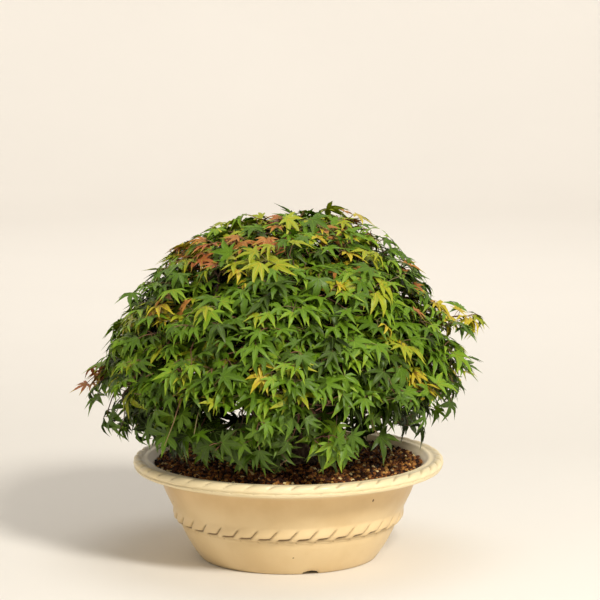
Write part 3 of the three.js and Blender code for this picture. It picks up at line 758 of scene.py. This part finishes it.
def outline_points(count):
    """Points spread evenly over the crown's outline, seen from its middle."""
    middle = np.array([DOME["x"], 0, 128 * MM])
    k = np.arange(count)
    z = 0.995 + (-0.42 - 0.995) * (k + 0.5) / count
    turn = k * math.pi * (3 - math.sqrt(5))
    flat = np.sqrt(1 - z * z)
    way = np.stack([flat * np.cos(turn), flat * np.sin(turn), z], axis=1)
    low, high = np.zeros(count), np.full(count, 0.32)
    for _ in range(24):
        half = (low + high) / 2
        inside = inside_crown(middle + way * half[:, None])
        low, high = np.where(inside, half, low), np.where(inside, high, half)
    return middle + way * low[:, None]


def around(r, angle, z):
    return np.array([DOME["x"] * 0.6 + r * math.cos(angle), r * math.sin(angle), z])


def make_masses():
    tiers = [("side", k, SIDE, math.radians(SIDE["turn"] + 360 / SIDES * k)) for k in range(SIDES)]
    found = []
    for kind, k, tier, angle in tiers + [("top", 0, TOP, 0.0)]:
        found.append({"name": f"{kind}_{k + 1}" if kind == "side" else kind, "tier": tier, "index": k,
                      "angle": angle, "site": around(tier["r"], angle, tier["z"]),
                      "heart": around(tier["heart_r"], angle, tier["heart_z"])})
    return found


MASSES = make_masses()
SITES = np.array([mass["site"] for mass in MASSES])


def mass_of(points):
    return np.argmin(np.linalg.norm(points[:, None, :] - SITES[None], axis=2), axis=1)


def bough_path(mass, count):
    """A bough from the trunk to its tip, and on to the heart of its mass."""
    side = mass["tier"] is SIDE
    share = 0.72 - (mass["index"] % 3) * 0.15 if side else 1.0
    root = trunk_path(101)[int(round(share * 100))]
    box_low, box_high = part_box("bough_" + mass["name"])
    toward = mass["heart"] - root
    reach = np.linalg.norm(toward)
    centre = (np.array(box_low) + np.array(box_high)) / 2
    tip_share = min(0.9, 2 * np.dot(centre - root, toward) / reach ** 2)
    tip = root + toward * tip_share
    sag = [math.cos(mass["angle"]), math.sin(mass["angle"]), 0] if side else [0.35, 0.3, 0]
    middle = root + (tip - root) * 0.5 + np.array(sag) * 5 * MM
    return curve_points([root, middle, tip, mass["heart"]], count)


def build_boughs(relief):
    rows, end = 30, BOUGH_TIP * 0.75
    t = np.linspace(0, 1, rows)
    points, faces = [], []
    for mass in MASSES:
        radii = end + (mass["tier"]["bough"] - end) * (1 - t ** 0.8)
        limb_points, limb_faces = tube(bough_path(mass, rows), radii, 20)
        faces += [tuple(i + len(points) for i in face) for face in limb_faces]
        points += list(limb_points)
    mesh = grow(mesh_of("boughs", points, faces=faces), relief, BOUGH_RELIEF)
    place("boughs_bark", mesh, ["bough_" + mass["name"] for mass in MASSES])


# ---- twigs: each mass branches from its heart to its shoots ----
class Wood:
    """Thin limbs as one net of points and edges, with a radius at each point."""

    def __init__(self):
        self.points, self.edges, self.radii = [], [], []

    def limb(self, path, radii):
        first = len(self.points)
        self.points += list(path)
        self.radii += list(radii)
        self.edges += [(first + k, first + k + 1) for k in range(len(path) - 1)]

    def mesh(self, name):
        return mesh_of(name, self.points, edges=self.edges, attributes={"radius": self.radii})


def wood_tree(look):
    """Edges with a radius at each point, skinned as round limbs."""
    nodes, given = geometry_tree("round_limbs", {"Sides": "Int"})
    radius = named(nodes, "radius")
    curve = nodes.out("GeometryNodeMeshToCurve", {0: given["Geometry"]})
    curve = nodes.out("GeometryNodeSetCurveRadius", {0: curve, "Radius": radius})
    ring = nodes.out("GeometryNodeCurvePrimitiveCircle", {"Resolution": given["Sides"], "Radius": 1.0})
    skinned = nodes.out("GeometryNodeCurveToMesh", {
        "Curve": curve, "Profile Curve": ring, "Scale": radius, "Fill Caps": True})
    finish_tree(nodes, wearing(nodes, skinned, look))
    return nodes


def twig_radius(shoots):
    """A twig's radius by how many shoots it carries."""
    return (0.42 + 0.30 * (shoots - 1) ** 0.42) * MM


def branch(wood, start, heading, tips, random):
    """A twig to the middle of its shoots, where it forks, until one shoot is left."""
    middle = tips.mean(axis=0)
    if len(tips) == 1:
        bend = start + (tips[0] - start) * 0.5 + heading * 0.12 * np.linalg.norm(tips[0] - start)
        path = curve_points([start, bend, tips[0]], 5)
        wood.limb(path, np.linspace(0.5 * MM, 0.32 * MM, 5))
        return
    reach = np.linalg.norm(middle - start)
    share = 0.42 + 0.16 * random.random()
    fork = start + (middle - start) * share + random.normal(0, 0.05 * reach, 3)
    bend = start + (fork - start) * 0.5 + heading * 0.1 * reach
    thick = twig_radius(len(tips))
    wood.limb(curve_points([start, bend, fork], 4), np.linspace(thick, thick * 0.86, 4))
    spread = tips - middle
    axis = np.linalg.svd(spread, full_matrices=False)[2][0]
    order = np.argsort(spread @ axis)
    cut = len(tips) // 2 if len(tips) < 6 else int(len(tips) * random.uniform(0.38, 0.62))
    for group in (order[:cut], order[cut:]):
        branch(wood, fork, unit(fork - bend), tips[group], random)


# ---- shoots and leaves ----
LEAF_FORMS = 12
# The lobes on one side of the middle one: the way each points, in degrees, and its length. The
# last is a small spur that only some leaves have.
SIDE_LOBES = [(50, 0.86), (99, 0.58), (143, 0.26)]
# Half of a lobe's outline from its fork to its tip: along it, and across it, by its length.
LOBE_EDGE = [(0.40, 0.132), (0.48, 0.112), (0.60, 0.099), (0.68, 0.062)]
SHORT_EDGE = [(0.50, 0.125)]
FORK_REACH = 0.25
VEIN_WIDTH, VEIN_LIFT = 0.010, 0.006
LONG_LOBE = 0.7                           # a lobe longer than this has a vein and a fuller edge
BLADE, LOBE_END, VEIN = 0, 1, 2           # added to twice a leaf's tint, these give its material


class LeafShape:
    """A leaf's points and faces, and which part of the leaf each face is."""

    def __init__(self, fold):
        self.fold = fold
        self.sweep = 0
        self.points, self.faces, self.parts = [(0, 0, 0)], [], []

    def point(self, angle, along, across, bend, lift=0.0):
        """A point on a lobe that points along an angle and bends down evenly towards its tip."""
        a = math.radians(angle + self.sweep * along)
        turned = bend * along
        out = math.sin(turned) / bend
        down = (1 - math.cos(turned)) / bend
        rise = abs(across) * self.fold + lift
        out += rise * math.sin(turned)
        x = out * math.cos(a) - across * math.sin(a)
        y = out * math.sin(a) + across * math.cos(a)
        self.points.append((x, y, rise * math.cos(turned) - down))
        return len(self.points) - 1

    def face(self, corners, part, turned):
        self.faces.append(corners[::-1] if turned else corners)
        self.parts.append(part)

    def half_lobe(self, angle, length, bend, side, slim, fork, ribs, tip):
        """One side of a lobe: triangles from its midrib's points to its edge."""
        outline = LOBE_EDGE if length > LONG_LOBE else SHORT_EDGE
        edge = [self.point(angle, x * length, side * y * length * slim, bend) for x, y in outline]
        rim = [fork, *edge, tip]
        near, turned = (len(rim) - 1) // 2 + 1, side > 0
        low, high = ribs[0], ribs[-1]
        self.face((0, rim[0], low), BLADE, turned)
        for k in range(near - 1):
            self.face((rim[k], rim[k + 1], low), BLADE, turned)
        if high != low:
            self.face((rim[near - 1], high, low), BLADE, turned)
        for k in range(near - 1, len(rim) - 1):
            self.face((rim[k], rim[k + 1], high), LOBE_END if k >= near else BLADE, turned)

    def vein(self, angle, length, bend):
        """A pale midrib, a little proud of the fold."""
        rows = [[self.point(angle, x * length, side * w * VEIN_WIDTH, bend, VEIN_LIFT) for side in (-1, 1)]
                for x, w in ((0.05, 1.4), (0.45, 1.0))]
        end = self.point(angle, 0.86 * length, 0, bend, VEIN_LIFT)
        (a, b), (c, d) = rows
        self.face((a, c, d), VEIN, False)
        self.face((a, d, b), VEIN, False)
        self.face((c, end, d), VEIN, False)


def leaf_form(random, droop, spurs):
    """One leaf, its middle lobe along +X and its face up, with its stalk's end at the origin."""
    sides = SIDE_LOBES if spurs else SIDE_LOBES[:2]
    spread = random.uniform(0.74, 1.02)
    sides = [(angle * spread, length * (1.25 - 0.25 * spread)) for angle, length in sides]
    lobes = [(-angle, length) for angle, length in sides[::-1]] + [(0, 1.0)] + sides
    lobes = [(angle + random.normal(0, 4), length * random.uniform(0.9, 1.07)) for angle, length in lobes]
    leaf = LeafShape(random.uniform(0.25, 0.9))
    slim = random.uniform(0.86, 1.1) * (0.6 + 0.4 * spread)
    forks = [leaf.point(lobes[0][0] - 30, 0.09, 0, droop)]
    for (a, la), (b, lb) in zip(lobes[:-1], lobes[1:]):
        forks.append(leaf.point((a + b) / 2, FORK_REACH * min(1, 0.3 + min(la, lb)), 0, droop, 0.02))
    forks.append(leaf.point(lobes[-1][0] + 30, 0.09, 0, droop))
    for k, (angle, length) in enumerate(lobes):
        bend = droop * random.uniform(0.3, 1.6)
        leaf.sweep = random.normal(0, 9)
        shares = (0.45, 0.72) if length > LONG_LOBE else (0.5,)
        ribs = [leaf.point(angle, share * length, 0, bend) for share in shares]
        tip = leaf.point(angle, length, 0, bend)
        for side, fork in ((-1, forks[k]), (1, forks[k + 1])):
            leaf.half_lobe(angle, length, bend, side, slim, fork, ribs, tip)
        if length > LONG_LOBE:
            leaf.vein(angle, length, bend)
    mesh = mesh_of("leaf", leaf.points, faces=leaf.faces)
    layer = mesh.attributes.new("part", "FLOAT", "FACE")
    layer.data.foreach_set("value", np.array(leaf.parts, np.float32))
    return mesh


def flat_way(ahead, face):
    """The way ahead laid flat in each leaf."""
    return unit(ahead - (ahead * face).sum(1, keepdims=True) * face)


def euler_of(face, ahead):
    """Turns, as XYZ angles, that lay +Z along each face direction and +X along each way ahead."""
    x = flat_way(ahead, face)
    y = np.cross(face, x)
    yaw = np.arctan2(x[:, 1], x[:, 0])
    pitch = np.arcsin(np.clip(-x[:, 2], -1, 1))
    roll = np.arctan2(y[:, 2], face[:, 2])
    return np.stack([roll, pitch, yaw], axis=1)


def foliage_tree(collection):
    """Leaves of several forms set on points, each turned, sized and tinted as its point says."""
    nodes, given = geometry_tree("foliage", {"Leaf": "Float"})
    forms = nodes.out("GeometryNodeCollectionInfo", {
        "Collection": collection, "Separate Children": True, "Reset Children": True})
    leaves = nodes.out("GeometryNodeInstanceOnPoints", {
        "Points": given["Geometry"], "Instance": forms, "Pick Instance": True,
        "Instance Index": nodes.out("FunctionNodeFloatToInt", {0: named(nodes, "form")}),
        "Rotation": nodes.out("FunctionNodeEulerToRotation", {0: named(nodes, "turn", "FLOAT_VECTOR")}),
        "Scale": named(nodes, "size") * given["Leaf"]})
    shape = nodes.out("GeometryNodeRealizeInstances", {0: leaves})
    slot = (named(nodes, "tint") * 2.0 + named(nodes, "part")).least(len(LEAVES) - 1.0)
    for k, look in enumerate(LEAVES):
        shape = wearing(nodes, shape, look, slot.equals(float(k)))
    finish_tree(nodes, shape)
    return nodes


# Where young or turning sprays stand: a centre and how far round it they reach, in millimetres, the
# tints dealt out there, and the share of the leaves there that have them.
TINT_SPOTS = [
    ((-78, -14, 239), 17, [CORAL, CORAL, ORANGE], 1.0),
    ((-66, -50, 237), 13, [CORAL, ORANGE], 1.0),
    ((-72, -20, 246), 12, [ORANGE, GOLD], 1.0),
    ((-42, -46, 251), 13, [ORANGE, CORAL, BRIGHT], 1.0),
    ((-14, -20, 267), 15, [ORANGE, CORAL], 1.0),
    ((4, -14, 268), 15, [ORANGE, GOLD], 1.0),
    ((-15, -56, 253), 12, [CORAL, ORANGE], 1.0),
    ((32, -45, 253), 12, [ORANGE, GOLD], 1.0),
    ((46, -57, 241), 10, [GOLD], 1.0),
    ((51, -6, 264), 15, [ORANGE, GOLD], 1.0),
    ((72, -5, 250), 13, [ORANGE, GOLD, LIME], 0.9),
    ((62, -55, 233), 8, [ORANGE], 1.0),
    ((95, -8, 226), 12, [ORANGE, LIME], 0.8),
    ((-39, -85, 227), 10, [GOLD, LIME], 1.0),
    ((36, -85, 225), 10, [GOLD, ORANGE], 1.0),
    ((-91, -68, 202), 14, [ORANGE, GOLD], 0.9),
    ((-127, -21, 182), 14, [GOLD, LIME], 1.0),
    ((103, -39, 203), 13, [CORAL, ORANGE, GOLD], 1.0),
    ((120, -6, 193), 12, [ORANGE, GOLD], 1.0),
    ((146, 2, 184), 26, [GOLD, GOLD, LIME], 1.0),
    ((84, -89, 185), 14, [LIME, GOLD], 1.0),
    ((96, -89, 166), 15, [GOLD, LIME], 1.0),
    ((108, -83, 151), 12, [GOLD], 1.0),
    ((138, 0, 140), 14, [GOLD, LIME], 0.8),
    ((-21, -134, 160), 9, [GOLD], 1.0),
    ((-157, -10, 138), 18, [CORAL, ORANGE, LIME], 0.75),
    ((60, 70, 236), 20, [ORANGE, LIME, GOLD], 0.7),
    ((-90, 80, 190), 16, [LIME, GOLD, ORANGE], 0.7),
    ((115, 55, 186), 14, [LIME, GOLD], 0.8),
    ((20, 132, 170), 12, [GOLD, LIME], 0.9),
]


# The chances up to which a shoot is deep, mid, fresh or bright green. Above the last it is lime.
GREEN_LIMITS = (0.06, 0.36, 0.78, 1.0)


def shoot_tints(tips, inner, random):
    """A tint for each shoot by chance: brighter at the top, as young growth and painted light; darker low
    down and inside, as painted shade; a few lime.
    """
    # Brighter at the top: young growth and painted light from above. Darker low down: painted shade under
    # the crown's overhang.
    chance = random.random(len(tips)) + 0.32 * smooth(tips[:, 2], 0.225, 0.265)
    chance -= 0.40 * smooth(-tips[:, 2], -0.178, -0.128)
    tints = np.select([chance < limit for limit in GREEN_LIMITS], [DEEP, MID, FRESH, BRIGHT], LIME)
    tints[(random.random(len(tips)) < 0.07) & (tips[:, 2] > 0.13)] = LIME
    # Inner shoots take the shadow and deep tints: painted shade inside the crown.
    tints[inner] = np.where(chance[inner] < 0.6, SHADOW, DEEP)
    return tints


def leaf_tints(tints, places, inner, random):
    """A leaf's own tint: its shoot's, the next one up or down, or a turning one at a few spots.

    Leaves that hang under the crown all take the shadow tint, as painted shade.
    """
    low = np.array([SHADOW, SHADOW, DEEP, MID, FRESH, LIME])[tints]
    high = np.array([DEEP, MID, FRESH, BRIGHT, LIME, LIME])[tints]
    tints = np.clip(tints + random.choice([-1, 0, 0, 0, 1], len(tints)), low, high)
    for centre, reach, choice, share in TINT_SPOTS:
        near = np.linalg.norm(places - np.array(centre) * MM, axis=1) < reach * MM
        chosen = near & (random.random(len(tints)) < share) & ~inner
        tints[chosen] = random.choice(choice, chosen.sum())
    x, y, z = places.T
    # Painted shade: leaves low down and under the crown take the shadow tint.
    tints[(z < 150 * MM) & (off_axis(x, y) < 0.76 * crown_radius(z))] = SHADOW
    return tints


def shoot_frames(tips):
    """The way out of the crown, down its side, and across, at each shoot."""
    out = crown_normal(tips)
    outward = unit(tips * [1, 1, 0] - [DOME["x"], 0, 0])
    fall = np.array([0, 0, -1.0]) + out * out[:, 2:3]
    down = unit(fall + outward * (0.25 + np.maximum(0, out[:, 2:3])))
    down = unit(down - (down * out).sum(1, keepdims=True) * out)
    return out, down, np.cross(out, down)


# A shoot's leaves: how far back along it each is set, the way it points from straight down, in
# degrees, and its size.
SHOOT_LEAVES = [(0, 12, 1.0), (0, -50, 0.92), (1, 66, 0.95), (8, -112, 0.9), (9, 122, 0.95)]


def shoot_leaves(tips, tints, inner, random):
    """Places, faces and ways ahead for all leaves, and the node on the shoot that each leaves."""
    out, down, across = shoot_frames(tips)
    count = len(tips)
    up = np.array([0, 0, 1.0])
    hang = np.clip((140 * MM - tips[:, 2:3]) / (50 * MM), 0, 1)
    swing = random.normal(0, 24, count)
    found = {key: [] for key in ("node", "base", "face", "ahead", "size", "tint", "shoot")}
    for back, angle, size in SHOOT_LEAVES:
        yaw = np.radians(angle + swing + random.normal(0, 22, count))[:, None]
        way = np.cos(yaw) * down + np.sin(yaw) * across
        node = tips - out * back * MM
        stalk = STALK * random.uniform(0.5, 1.25, (count, 1))
        base = node + unit(way * 0.62 + out * random.uniform(0.1, 0.9, (count, 1))) * stalk
        face = out * random.uniform(0.5, 1.0, (count, 1)) + up * (0.78 - 0.38 * hang)
        loose = 0.24 + 0.22 * np.clip((tips[:, 2:3] - 225 * MM) / (40 * MM), 0, 1)
        face = unit(face + random.normal(0, 1, (count, 3)) * loose)
        ahead = unit(way + out * (0.42 - 0.3 * hang) + down * 0.3 + [0, 0, -0.15])
        own = leaf_tints(tints, base + flat_way(ahead, face) * 9 * MM, inner, random)
        grown = size * random.uniform(0.66, 1.12, count) * np.where(own >= ORANGE, 0.84, 1)
        grown *= 1 + 0.16 * hang[:, 0]
        for key, value in (("node", node), ("base", base), ("face", face), ("ahead", ahead), ("size", grown),
                           ("tint", own), ("shoot", np.arange(count))):
            found[key].append(value)
    return {key: np.concatenate(value) for key, value in found.items()}


def in_reach(leaves):
    """Whether each leaf ends in the crown or a little past it, over hem and rim, in no opening."""
    flat = flat_way(leaves["ahead"], leaves["face"])
    length = (leaves["size"] * LEAF_MIDDLE)[:, None]
    end = leaves["base"] + flat * length * 0.85 - leaves["face"] * length * 0.4
    x, y, z = end.T
    low = np.minimum(ragged_hem(x, y), ragged_hem(leaves["base"][:, 0], leaves["base"][:, 1])) - 5 * MM
    proud = (5 - 6 * smooth(z, 215 * MM, 245 * MM)) * MM
    wide = off_axis(x, y / DOME["depth"]) < side_reach(x, z) + proud
    open_here = in_opening(leaves["base"] + flat * length * 0.5)
    return (z > np.maximum(low, RIM_TOP + 1 * MM)) & wide & (z < DOME["top"] + 1 * MM) & ~open_here


# Where the skirt is open between its hanging bunches: a turn round the crown and half a width, in
# degrees, and the heights it is open from and to, in millimetres.
SKIRT_OPENINGS = [(-119, 4, 120, 140), (-109, 5, 119, 140), (-101, 3, 118, 137), (-86, 3, 90, 122),
                  (-77, 4, 119, 142), (-65, 3, 94, 118), (-60, 4, 117, 139), (-18, 4, 112, 136),
                  (35, 6, 110, 140), (57, 4, 108, 138), (84, 6, 108, 142), (109, 5, 106, 138),
                  (134, 5, 108, 140), (158, 3, 106, 134), (179, 3, 108, 134), (200, 3, 108, 134)]


def in_opening(points):
    """Whether points lie in an opening of the skirt."""
    x, y, z = points.T
    found = np.zeros(len(points), bool)
    for turn, wide, low, high in SKIRT_OPENINGS:
        found |= (turn_from(x, y, turn) < wide) & (z > low * MM) & (z < high * MM)
    return found & (np.hypot(x, y) > 0.5 * DOME["radius"])


def thinned(points, random):
    """Whether each shoot stays: fewer do near the hem, and few under the crown or in an opening."""
    x, y, z = points.T
    above = (z - ragged_hem(x, y)) / (45 * MM)
    under = off_axis(x, y) < 0.72 * crown_radius(z)
    share = np.clip(0.36 + 0.64 * above, 0, 1) * np.where(under & (above < 0.4), 0.1, 1)
    share = np.where(in_opening(points), 0.3, share)
    return random.random(len(points)) < share


def hanging_shoots(random):
    """Shoots in the bunches that hang lowest. At the back they end a little higher."""
    turns = np.repeat(np.radians(BUNCHES), BUNCH_SHOOTS)
    turns = turns + random.normal(0, 0.05, len(turns))
    z = (random.uniform(*BUNCH_ENDS, len(turns)) + 16 * (np.sin(turns) > 0.1)) * MM
    way = np.stack([np.cos(turns), np.sin(turns)], axis=1)
    r = side_reach(way[:, 0] * 0.12, z) - random.uniform(*BUNCH_DEPTH, len(turns)) * MM
    return np.column_stack([DOME["x"] + r * way[:, 0], r * way[:, 1] * DOME["depth"], z])


# Long stalks at the front that have lost their leaves.
BARE_STALKS = [[(-78, -113, 143), (-83, -120, 127), (-90, -119, 109)],
               [(-63, -118, 141), (-66, -124, 130), (-68, -126, 119)]]
# Where the shoots that reach out furthest end: three at the left, one below them, three at the right.
FAR_SHOOTS = np.array([[-147, -10, 143], [-140, -14, 148], [-143, -6, 137], [-124, -22, 112],
                       [139, 12, 186], [129, 4, 187], [126, -18, 185]]) * MM


def shoot_tips(random):
    """Where all the shoots end, and which are inner ones. The furthest shoots come last."""
    outline = outline_points(SHOOTS)
    outline = np.vstack([outline[thinned(outline, random)], hanging_shoots(random)])
    depth = random.uniform(*SHOOT_DEPTH, (len(outline), 1)) * MM
    depth = depth * (1 - 0.45 * smooth(outline[:, 2:3], 0.22, 0.25))
    tips = outline - crown_normal(outline) * depth
    inner = outline_points(INNER_SHOOTS)
    inner = inner - crown_normal(inner) * (random.uniform(*INNER_DEPTH, (len(inner), 1)) * MM)
    inner = inner[inner[:, 2] > hem_height(inner[:, 0], inner[:, 1]) + 36 * MM]
    is_inner = np.repeat([False, True, False], [len(tips), len(inner), len(FAR_SHOOTS)])
    return np.vstack([tips, inner, FAR_SHOOTS]), is_inner


def grow_plant(random):
    """The leaves, which mass each shoot is in, and the twigs and leaf stalks."""
    tips, inner = shoot_tips(random)
    tints = shoot_tints(tips, inner, random)
    leaves = shoot_leaves(tips, tints, inner, random)
    keep = in_reach(leaves) | (leaves["shoot"] >= len(tips) - len(FAR_SHOOTS))
    leaves = {key: value[keep] for key, value in leaves.items()}
    wood, stalks = Wood(), Wood()
    owner = mass_of(tips)
    for k, mass in enumerate(MASSES):
        heading = unit(mass["heart"] - TRUNK_FOOT)
        branch(wood, mass["heart"], heading, tips[owner == k], random)
    for node, base in zip(leaves["node"], leaves["base"]):
        sag = (node + base) / 2 + [0, 0, 0.8 * MM]
        stalks.limb([node, sag, base], [0.34 * MM, 0.27 * MM, 0.3 * MM])
    for path in BARE_STALKS:
        stalks.limb(np.array(path) * MM, [0.5 * MM, 0.42 * MM, 0.34 * MM])
    return leaves, owner, wood, stalks


def build_foliage(leaves, owner, random):
    """Each mass's leaves as one piece. Leaves near the top droop less."""
    shelf = bpy.data.collections.new("leaf_forms")
    for k, droop in enumerate(np.linspace(0.15, 1.35, LEAF_FORMS)):
        shelf.objects.link(bpy.data.objects.new(f"form_{k:02d}", leaf_form(random, droop, k % 3 == 0)))
    nodes = foliage_tree(shelf)
    count = len(leaves["base"])
    turns = euler_of(leaves["face"], leaves["ahead"])
    flat = np.clip((leaves["base"][:, 2] - 200 * MM) / (60 * MM), 0, 1)
    # A form's number is a little over a whole one, so that rounding keeps it.
    forms = np.floor(random.random(count) * LEAF_FORMS * (1 - 0.5 * flat)) + 0.2
    for k, mass in enumerate(MASSES):
        own = owner[leaves["shoot"]] == k
        cloud = mesh_of("leaf_places", leaves["base"][own], attributes={
            "turn": turns[own], "size": leaves["size"][own], "tint": leaves["tint"][own].astype(float),
            "form": forms[own]})
        mesh = grow(cloud, nodes, {"Leaf": LEAF_MIDDLE})
        place("leaves_" + mass["name"], mesh, ["mass_" + mass["name"]])
    for form in list(shelf.objects):
        bpy.data.objects.remove(form)


def build_plant():
    random = np.random.default_rng(SEED)
    relief = bark_tree()
    build_trunk(relief)
    build_boughs(relief)
    leaves, owner, wood, stalks = grow_plant(random)
    place("twigs", grow(wood.mesh("twigs"), wood_tree(TWIG), {"Sides": 5}))
    place("leaf_stalks", grow(stalks.mesh("stalks"), wood_tree(STALKS), {"Sides": 4}))
    build_foliage(leaves, owner, random)


# ---- stage, lights and camera ----
def paper_look(nodes):
    return {"Base Color": blend(nodes, noise(nodes, 3, 2), (0.79, 0.765, 0.725), (0.815, 0.79, 0.75))}


def build_stage():
    """A pale floor that curves up all round into a wall."""
    bend, wide, high = 1.2, 2.6, 3.4
    profile = [(0.02, 0.0), (0.5, 0.0), (1.2, 0.0), (wide, 0.0)]
    profile += [(wide + bend * math.sin(a), bend * (1 - math.cos(a)))
                for a in np.linspace(0.1, math.pi / 2, 14)]
    profile.append((wide + bend, high))
    turns = np.linspace(0, 2 * math.pi, 96, endpoint=False)
    points = [(r * math.cos(a), r * math.sin(a), z) for r, z in profile for a in turns]
    count = len(turns)
    mesh = mesh_of("floor", points, faces=[tuple(range(count))] + band_faces(len(profile), count))
    mesh.shade_smooth()
    mesh.materials.append(material("pale_paper", {"Roughness": 0.9, "Specular IOR Level": 0.1}, paper_look))
    floor = bpy.data.objects.new("floor", mesh)
    bpy.context.scene.collection.objects.link(floor)


# Each soft light: where it is, where it points, its width, its power and its colour.
MIDDLE = (0, 0, 0.15)
LIGHTS = {
    "key": ((1.03, -1.66, 1.72), MIDDLE, 0.5, 56, (1.0, 0.955, 0.87)),
    "overhead": ((0.1, 0.1, 2.6), MIDDLE, 1.4, 16, (1.0, 0.96, 0.9)),
    "wall_wash": ((0.0, 0.9, 2.6), (0, 3.6, 2.1), 2.2, 56, (1.0, 0.95, 0.90)),
}
SKY_COLOUR, SKY_STRENGTH = (1.0, 0.95, 0.88, 1), 0.42
CAMERA_AT = (0.009, -1.960, 0.472)
CAMERA_DOWN = 7.9                         # degrees below level
LENS, SENSOR = 154, 36


def soft_light(name, where, aim, size, power, colour):
    lamp = bpy.data.lights.new(name, "AREA")
    lamp.shape, lamp.size = "DISK", size
    lamp.energy, lamp.color = power, colour
    thing = bpy.data.objects.new(name, lamp)
    thing.location = where
    bpy.context.scene.collection.objects.link(thing)
    way = np.asarray(aim, float) - np.array(thing.location)
    thing.rotation_euler = Vector(way).to_track_quat("-Z", "Y").to_euler()


def build_lights():
    for name, numbers in LIGHTS.items():
        soft_light(name, *numbers)
    world = bpy.data.worlds.new("room")
    world.use_nodes = True
    sky = world.node_tree.nodes["Background"]
    sky.inputs["Color"].default_value = SKY_COLOUR
    sky.inputs["Strength"].default_value = SKY_STRENGTH
    bpy.context.scene.world = world
    bpy.context.scene.view_settings.view_transform = "Standard"


def build_camera():
    """A long lens in front of the pot and a little above it, looking slightly down."""
    lens = bpy.data.cameras.new("camera")
    lens.lens, lens.sensor_width = LENS, SENSOR
    eye = bpy.data.objects.new("camera", lens)
    eye.location = CAMERA_AT
    eye.rotation_euler = (math.radians(90 - CAMERA_DOWN), 0, 0)
    bpy.context.scene.collection.objects.link(eye)
    bpy.context.scene.camera = eye


build_camera()
build_pot()
build_soil()
build_plant()
build_stage()
build_lights()
